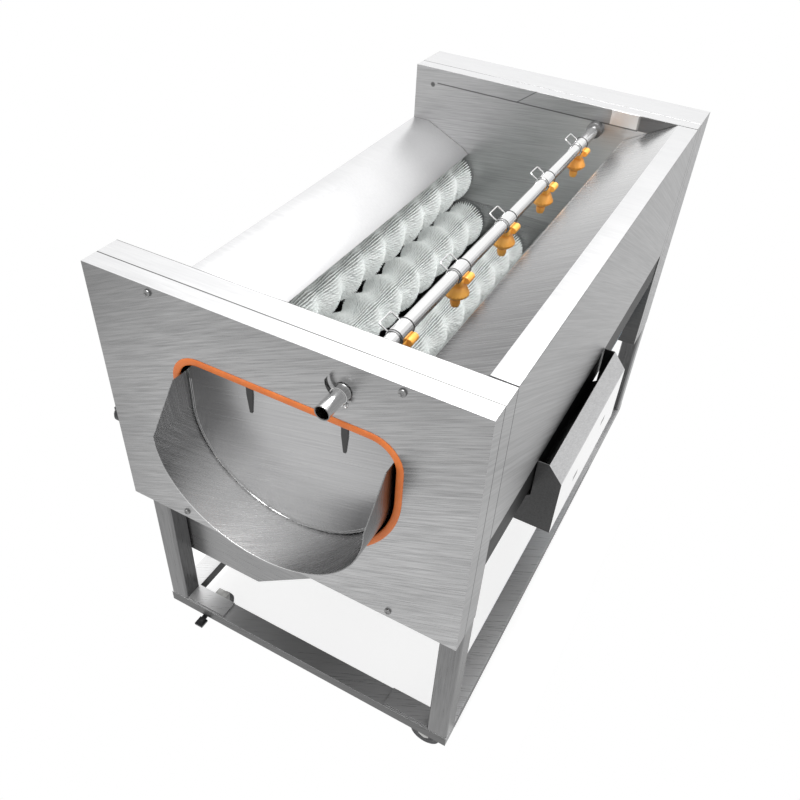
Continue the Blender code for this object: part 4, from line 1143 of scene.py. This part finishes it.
# %% Nylon
def fibre_finish():
    # The faint emission is a painted glow that lifts the fibres out of the tank's shade.
    finish = Finish("brush_fibre", (0.9, 0.92, 0.91), 0.42, emission_strength=0.16)
    share = finish.add("ShaderNodeAttribute", {"attribute_name": "height_share"})
    height = Mask(finish, share.outputs["Fac"])
    wet = finish.noise((45, 20, 45), detail=3.0).step(0.35, 0.7)
    pale = finish.blend(wet, (0.90, 0.92, 0.915), (0.96, 0.965, 0.96))
    # Painted shade: the fibre's colour darkens from the tip to the root.
    finish.set("Base Color", finish.blend(height ** 1.2, (0.50, 0.51, 0.505), pale))
    # The painted glow is strongest at the tips.
    finish.set("Emission Color", finish.blend(height ** 1.5, (0.10, 0.10, 0.10), (0.95, 0.97, 0.96)))
    finish.set("Roughness", wet * 0.15 + 0.36)
    strand_lines = finish.noise((900, 900, 900), detail=1.0)
    finish.bump(strand_lines, 0.1, 0.0004)
    glow = finish.add("ShaderNodeBsdfTranslucent", None, {"Color": (0.92, 0.94, 0.93, 1)})
    surfaces = {0: height * 0.45, 1: finish.shader.outputs[0], 2: glow.outputs[0]}
    mixed = finish.add("ShaderNodeMixShader", None, surfaces)
    finish.tree.links.new(mixed.outputs[0], finish.tree.nodes["Material Output"].inputs["Surface"])
    return finish.material


def bed_finish():
    finish = Finish("brush_bed", (0.3, 0.32, 0.31), 0.6)
    fleck = finish.noise((420, 420, 420), detail=3.0)
    # The bed is painted darker than the fibres, for the shade deep in the pile.
    finish.set("Base Color", finish.blend(fleck.step(0.35, 0.65), (0.28, 0.29, 0.285), (0.62, 0.64, 0.63)))
    finish.set("Roughness", fleck * 0.3 + 0.45)
    finish.bump(fleck, 0.8, 0.002)
    return finish.material


print("nylon ready")

# %% [markdown]
# The bed is one tube of faces that follows the lobe a little below the pile. A tuft's fibres start in
# one hole and fan out. A fibre is a three-sided rod of eight triangles, which keeps a whole brush
# light enough, and the places of all the rods are worked out at once.


# %% Beds and tufts
def surface(name, points, faces, finish, shares=None):
    """A piece from points and faces, with the share of the fibre's height at each point."""
    mesh = bpy.data.meshes.new(name)
    mesh.from_pydata(points, [], faces)
    mesh.materials.append(finish)
    if shares is not None:
        attribute = mesh.attributes.new("height_share", "FLOAT", "POINT")
        attribute.data.foreach_set("value", shares)
    return shown(name, mesh)


def bed(name, centre, finish):
    rings, sides = 340, 56
    angle, along = np.meshgrid(np.arange(sides) * math.tau / sides, np.linspace(0, brush_long, rings))
    reach = pile_height(angle, along) - bed_depth
    points = np.stack([reach * np.cos(angle), along, reach * np.sin(angle)], axis=-1)
    points = points.reshape(-1, 3) + centre
    faces = []
    for r in range(rings - 1):
        for s in range(sides):
            t = (s + 1) % sides
            faces.append((r * sides + s, r * sides + t, (r + 1) * sides + t, (r + 1) * sides + s))
    faces.append(tuple(range(sides))[::-1])
    faces.append(tuple(range((rings - 1) * sides, rings * sides)))
    piece = surface(name, points.tolist(), faces, finish)
    take(piece)
    bpy.ops.object.mode_set(mode="EDIT")
    bpy.ops.mesh.select_all(action="SELECT")
    bpy.ops.mesh.normals_make_consistent(inside=False)
    close_mesh()
    shade_smooth(piece, 50)
    return piece


def tufts(name, centre, finish, seed, rows):
    chance = np.random.default_rng(seed)
    numbers = np.meshgrid(np.arange(*rows), np.arange(tufts_round), np.arange(fibres), indexing="ij")
    row, place, fibre = (grid.ravel() for grid in numbers)
    count = len(row)
    tuft = row * tufts_round + place
    tuft_lean = chance.normal(0, 1, (tuft_rows * tufts_round, 3))[tuft]
    along = 0.003 + (brush_long - 0.006) * (row + 0.5) / tuft_rows + tuft_lean[:, 0] * 0.0005
    angle = math.tau * place / tufts_round + tuft_lean[:, 1] * 0.006
    spread = math.tau * fibre / fibres + tuft_lean[:, 2]
    fan = chance.uniform(0.3, 1.0, count)
    root_along = along + 0.0011 * fan * np.cos(spread)
    root_angle = angle + 0.009 * fan * np.sin(spread)
    tip_along = along + 0.0014 * fan * np.cos(spread) + chance.normal(0, 0.0004, count)
    tip_angle = angle + 0.015 * fan * np.sin(spread) + chance.normal(0, 0.004, count)
    tip_along = np.clip(tip_along, 0.0004, brush_long - 0.0004)
    root_along = np.clip(root_along, 0.0016, brush_long - 0.0016)
    root_reach = pile_height(root_angle, root_along) - root_depth
    tip_reach = pile_height(tip_angle, tip_along) + tip_rise + chance.normal(0, 0.0007, count)
    tip_reach = np.minimum(tip_reach, farthest_tip)

    def place_at(reach, turn, length):
        return np.stack([reach * np.cos(turn), length, reach * np.sin(turn)], axis=-1)

    root = place_at(root_reach, root_angle, root_along)
    tip = place_at(tip_reach, tip_angle, tip_along)
    aside = np.stack([-np.sin(root_angle), np.zeros(count), np.cos(root_angle)], axis=-1)
    length_way = np.array([0.0, 1.0, 0.0])
    twist = chance.uniform(0, math.tau, count)
    rod_points = []
    for end, thickness in ((root, 0.00080), (tip, 0.00052)):
        for k in range(3):
            turn = twist + math.tau * k / 3
            outwards = np.cos(turn)[:, None] * aside + np.sin(turn)[:, None] * length_way
            rod_points.append(end + thickness * outwards)
    points = np.stack(rod_points, axis=1).reshape(-1, 3) + centre
    base = np.arange(count)[:, None] * 6
    sides = [base + np.array(face) for face in ((0, 3, 4, 1), (1, 4, 5, 2), (2, 5, 3, 0))]
    ends = [base + np.array(face) for face in ((0, 1, 2), (3, 5, 4))]
    faces = np.concatenate(sides).tolist() + np.concatenate(ends).tolist()
    shares = np.tile(np.repeat(np.array([0, 1], dtype=np.float32), 3), count)
    return surface(name, points.tolist(), faces, finish, shares)


print("bed and tuft helpers ready")

# %% [markdown]
# Each roller gets its bed and two lengths of tufts, because one mesh of all its fibres would be too
# large. The three rollers are alike but for the scatter, which starts from a number of its own.

# %% Three brushes
fibre_nylon = fibre_finish()
bed_nylon = bed_finish()
half = tuft_rows // 2
for number in (1, 2, 3):
    shaft_low, shaft_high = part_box(f"roller_shaft_{number}")
    shaft_middle = (shaft_low + shaft_high) / 2
    centre = np.array([shaft_middle.x, brush_low.y, shaft_middle.z])
    brush_bed = bed(f"brush_bed_{number}", centre, bed_nylon)
    front_tufts = tufts(f"brush_tufts_{number}_front", centre, fibre_nylon, number, (0, half))
    rear_tufts = tufts(f"brush_tufts_{number}_rear", centre, fibre_nylon, number + 3, (half, tuft_rows))
    for piece in (brush_bed, front_tufts, rear_tufts):
        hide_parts(f"brush_{number}")
        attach(piece, f"roller_{number}")
    fibre_faces = len(front_tufts.data.polygons) + len(rear_tufts.data.polygons)
    print("brush", number, "at", [round(v, 4) for v in centre], fibre_faces, "faces of fibre")

# %% [markdown]
# Four pan-head screws hold the front cover. One head is turned as a low dome, a cross is pressed
# into it by moving its middle faces inwards, and it is copied to the other three corners.

# %% Cover screws
screw_outline = [
    (0.0, -0.0052), (0.0024, -0.0051), (0.0042, -0.0047), (0.0058, -0.0040), (0.0066, -0.0028),
    (0.0068, -0.0012), (0.0068, 0.0004), (0.0, 0.0004),
]
screw_side, screw_top, screw_foot = half_width - 0.143, cover_high.z - 0.013, cover_low.z + 0.019
first_screw = at(-screw_side, 0, screw_top)
screw_steel = polished_steel("screw_steel", 1, 0.26, 0.22)
screw = turned("cover_screw_1", screw_outline, "Y", first_screw, screw_steel, 24, 35)


def on_the_cross(spot, way):
    away = spot - first_screw
    return way.y < -0.5 and away.xz.length < 0.0045 and min(abs(away.x), abs(away.z)) < 0.0010


open_mesh(screw)
pick(screw, "FACE", on_the_cross)
bpy.ops.mesh.extrude_region_move(TRANSFORM_OT_translate={"value": (0, 0.0020, 0)})
close_mesh()
screw_places = [(side, height) for height in (screw_top, screw_foot) for side in (-screw_side, screw_side)]
for number, (x, z) in enumerate(screw_places, 1):
    piece = screw if number == 1 else again(screw, f"cover_screw_{number}", at(x, 0, z) - first_screw)
    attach(piece, "frame")
print("cover screws at", [tuple(round(v, 3) for v in place) for place in screw_places])

# %% [markdown]
# The switch on the left end is a black knob with a raised grip. The castors have pressed forks with
# a zinc skin, black brake pedals, and grey tyres on a ribbed hub.

# %% Switch and castor steel
eased("switch_base", knob_plastic, 0.0010, 3)
eased("switch_knob", knob_plastic, 0.0016, 3)


def zinc_skin():
    finish = Finish("zinc_plated", (0.42, 0.42, 0.41), 0.35, 1.0)
    spangle = finish.noise((140, 140, 140), detail=3.0)
    dull = finish.noise((30, 30, 30), detail=3.0, offset=(5, 2, 8)).step(0.4, 0.7)
    finish.set("Base Color", finish.blend(dull, (0.46, 0.46, 0.45), (0.27, 0.265, 0.255)))
    finish.set("Roughness", dull * 0.2 + spangle * 0.1 + 0.24)
    finish.bump(spangle, 0.15, 0.0005)
    return finish.material


castor_steel = zinc_skin()
hub_plastic = moulded("grey_hub", (0.10, 0.10, 0.105), (0.07, 0.07, 0.073), 0.45)
for place in corners:
    eased("caster_fork_" + place, castor_steel, 0.0005)
for place in corners[:2]:
    eased("caster_pedal_" + place, knob_plastic, 0.0010, 3)
print("switch and castor steel finished")

# %% [markdown]
# A castor wheel is turned twice: a tyre with a crowned tread and a shoulder step, and a dished hub
# inside it. Of every eight faces round the dish six are pressed in, which leaves five spokes.

# %% Castor wheels
hub_sides, hub_sides_per_spoke, spoke_sides = 40, 8, 2
for place in corners:
    wheel_low, wheel_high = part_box("caster_wheel_" + place)
    wheel_centre = (wheel_low + wheel_high) / 2
    span = wheel_high - wheel_low
    axis = "X" if span.x < span.y else "Y"
    radius = span.z / 2
    half_tread = min(span.x, span.y) / 2
    tyre_outline = [
        (radius * 0.74, -half_tread + 0.0012), (radius * 0.90, -half_tread),
        (radius * 0.955, -half_tread + 0.0012), (radius * 0.985, -half_tread * 0.55),
        (radius, -half_tread * 0.2), (radius, half_tread * 0.2),
        (radius * 0.985, half_tread * 0.55), (radius * 0.955, half_tread - 0.0012),
        (radius * 0.90, half_tread), (radius * 0.74, half_tread - 0.0012),
        (radius * 0.74, -half_tread + 0.0012),
    ]
    tyre = turned("castor_tyre_" + place, tyre_outline, axis, wheel_centre, tyre_rubber, 48, 30)
    dish_reach = radius * 0.64
    hub_outline = [
        (0.0046, -half_tread - 0.0002), (0.0095, -half_tread - 0.0002), (0.0105, -half_tread + 0.0010),
        (0.0115, -half_tread + 0.0040), (dish_reach, -half_tread + 0.0040),
        (radius * 0.70, -half_tread + 0.0014), (radius * 0.745, -half_tread + 0.0014),
        (radius * 0.745, half_tread - 0.0014), (radius * 0.70, half_tread - 0.0014),
        (dish_reach, half_tread - 0.0040), (0.0115, half_tread - 0.0040), (0.0105, half_tread - 0.0010),
        (0.0095, half_tread + 0.0002), (0.0046, half_tread + 0.0002), (0.0046, -half_tread - 0.0002),
    ]
    hub = turned("castor_hub_" + place, hub_outline, axis, wheel_centre, hub_plastic, hub_sides, 30)

    def between_spokes(spot, way):
        away = spot - wheel_centre
        across = away.y if axis == "X" else away.x
        on_dish = abs(way["XY".index(axis)]) > 0.95 and 0.0115 < math.hypot(across, away.z) < dish_reach
        side = math.floor(math.atan2(away.z, across) / math.tau * hub_sides)
        return on_dish and side % hub_sides_per_spoke >= spoke_sides

    open_mesh(hub)
    pick(hub, "FACE", between_spokes)
    bpy.ops.mesh.inset(thickness=0.0006, depth=-0.0035)
    close_mesh()
    wheel = join([tyre, hub], "castor_wheel_" + place)
    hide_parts("caster_wheel_" + place)
    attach(wheel, "wheel_" + place)
print("castor wheels turned")

# %% [markdown]
# The gear motor sits under the hopper where only a low view finds it. Its gearbox and terminal box
# are the drawing's own blocks with cast, rounded edges. The drive chain runs inside the closed end
# cover, so it keeps the drawing's shape and gets an oily finish.

# %% Gear motor and chain
eased("gear_motor", motor_paint, 0.0030, 4, 35)


def oiled_chain():
    finish = Finish("oiled_chain", (0.16, 0.15, 0.14), 0.38, 1.0)
    plates = finish.noise((80, 160, 160), detail=2.0)
    finish.set("Base Color", finish.blend(plates.step(0.4, 0.6), (0.20, 0.19, 0.175), (0.07, 0.062, 0.055)))
    finish.set("Roughness", plates * 0.25 + 0.26)
    finish.bump(plates, 0.4, 0.0015)
    return finish.material


chain_solid = nodes["drive_chain"]
chain_solid.data.materials.clear()
chain_solid.data.materials.append(oiled_chain())
print("motor and chain finished")

# %% [markdown]
# The machine stands on a pale sweep. Metal shows what it mirrors, so the light is built for the
# metal: a big soft lamp high up behind the machine is what the flat tops reflect, a second one over
# the tank lights the brushes, and the pale floor in front is what the front cover reflects. Only the
# camera and mirrors see the floor's glow, so it whitens the floor and lights nothing from below. The
# world is white for them too, and dimmer as a light, so that pale surfaces stay below white.

# %% Floor, lamps and world
select_nothing()
bpy.ops.mesh.primitive_plane_add(size=1, location=(0, 0, -0.0005), scale=(14, 14, 1))
studio_floor = settle(bpy.context.object)
studio_floor.name = "studio_floor"
sweep = Finish("studio_sweep", (0.45, 0.45, 0.45), 0.9)
dust = sweep.noise((3, 3, 3), detail=2.0)
sweep.set("Base Color", sweep.blend(dust, (0.44, 0.44, 0.44), (0.46, 0.46, 0.46)))
light_path = sweep.add("ShaderNodeLightPath")
seen = Mask(sweep, light_path.outputs["Is Camera Ray"]) * 0.74
mirrored = Mask(sweep, light_path.outputs["Is Glossy Ray"]) * 0.25
glow = sweep.add("ShaderNodeEmission", None, {"Color": (1, 1, 1, 1), "Strength": seen + mirrored})
together = sweep.add("ShaderNodeAddShader", None, {0: sweep.shader.outputs[0], 1: glow.outputs[0]})
sweep.tree.links.new(together.outputs[0], sweep.tree.nodes["Material Output"].inputs["Surface"])
studio_floor.data.materials.append(sweep.material)


def lamp(name, place, aim, size, watts):
    """A soft rectangular lamp that points at its aim and is not seen itself."""
    bpy.ops.object.light_add(type="AREA", location=place)
    light = bpy.context.object
    light.name = name
    light.data.shape = "RECTANGLE"
    light.data.size, light.data.size_y = size
    light.data.energy = watts
    light.visible_camera = False
    light.rotation_euler = (Vector(aim) - Vector(place)).to_track_quat("-Z", "Y").to_euler()


lamp("back_soft_box", (-1.2, 3.0, 2.9), (0, 0, 1.0), (7.0, 4.4), 26)
lamp("tank_lamp", (0.0, 0.1, 3.2), (0, 0, 0.7), (1.6, 2.4), 105)

world = bpy.data.worlds.new("white_room")
bpy.context.scene.world = world
world.use_nodes = True
room = world.node_tree
backdrop = room.nodes["Background"]
backdrop.inputs["Color"].default_value = (1, 1, 1, 1)
path = room.nodes.new("ShaderNodeLightPath")
bright = path.outputs["Is Camera Ray"]
for other in ("Is Glossy Ray", "Is Transmission Ray"):
    either = room.nodes.new("ShaderNodeMath")
    either.operation = "MAXIMUM"
    room.links.new(bright, either.inputs[0])
    room.links.new(path.outputs[other], either.inputs[1])
    bright = either.outputs[0]
level = room.nodes.new("ShaderNodeMapRange")
level.inputs["To Min"].default_value = 0.75
level.inputs["To Max"].default_value = 1.0
room.links.new(bright, level.inputs["Value"])
room.links.new(level.outputs["Result"], backdrop.inputs["Strength"])
bpy.context.scene.view_settings.view_transform = "Standard"
print("lit")

# %% [markdown]
# The picture was taken from the front right, a person's height above the floor, with the camera
# tilted a little. The three directions of the camera are worked out from its turn, its height angle
# and its tilt.

# %% Camera
turn, lift, tilt = math.radians(26.15), math.radians(40.68), math.radians(3.79)
back = Vector((math.sin(turn) * math.cos(lift), -math.cos(turn) * math.cos(lift), math.sin(lift)))
level_right = Vector((math.cos(turn), math.sin(turn), 0))
level_up = back.cross(level_right)
right = math.cos(tilt) * level_right + math.sin(tilt) * level_up
up = math.cos(tilt) * level_up - math.sin(tilt) * level_right
bpy.ops.object.camera_add(location=(0, 0, 0))
camera = bpy.context.object
camera.data.lens = 36.26
camera.data.sensor_width = 36
facing = Matrix((right, up, back)).transposed().to_4x4()
camera.matrix_world = Matrix.Translation((0.6073, -1.4266, 1.8151)) @ facing
bpy.context.scene.camera = camera
print("camera placed")
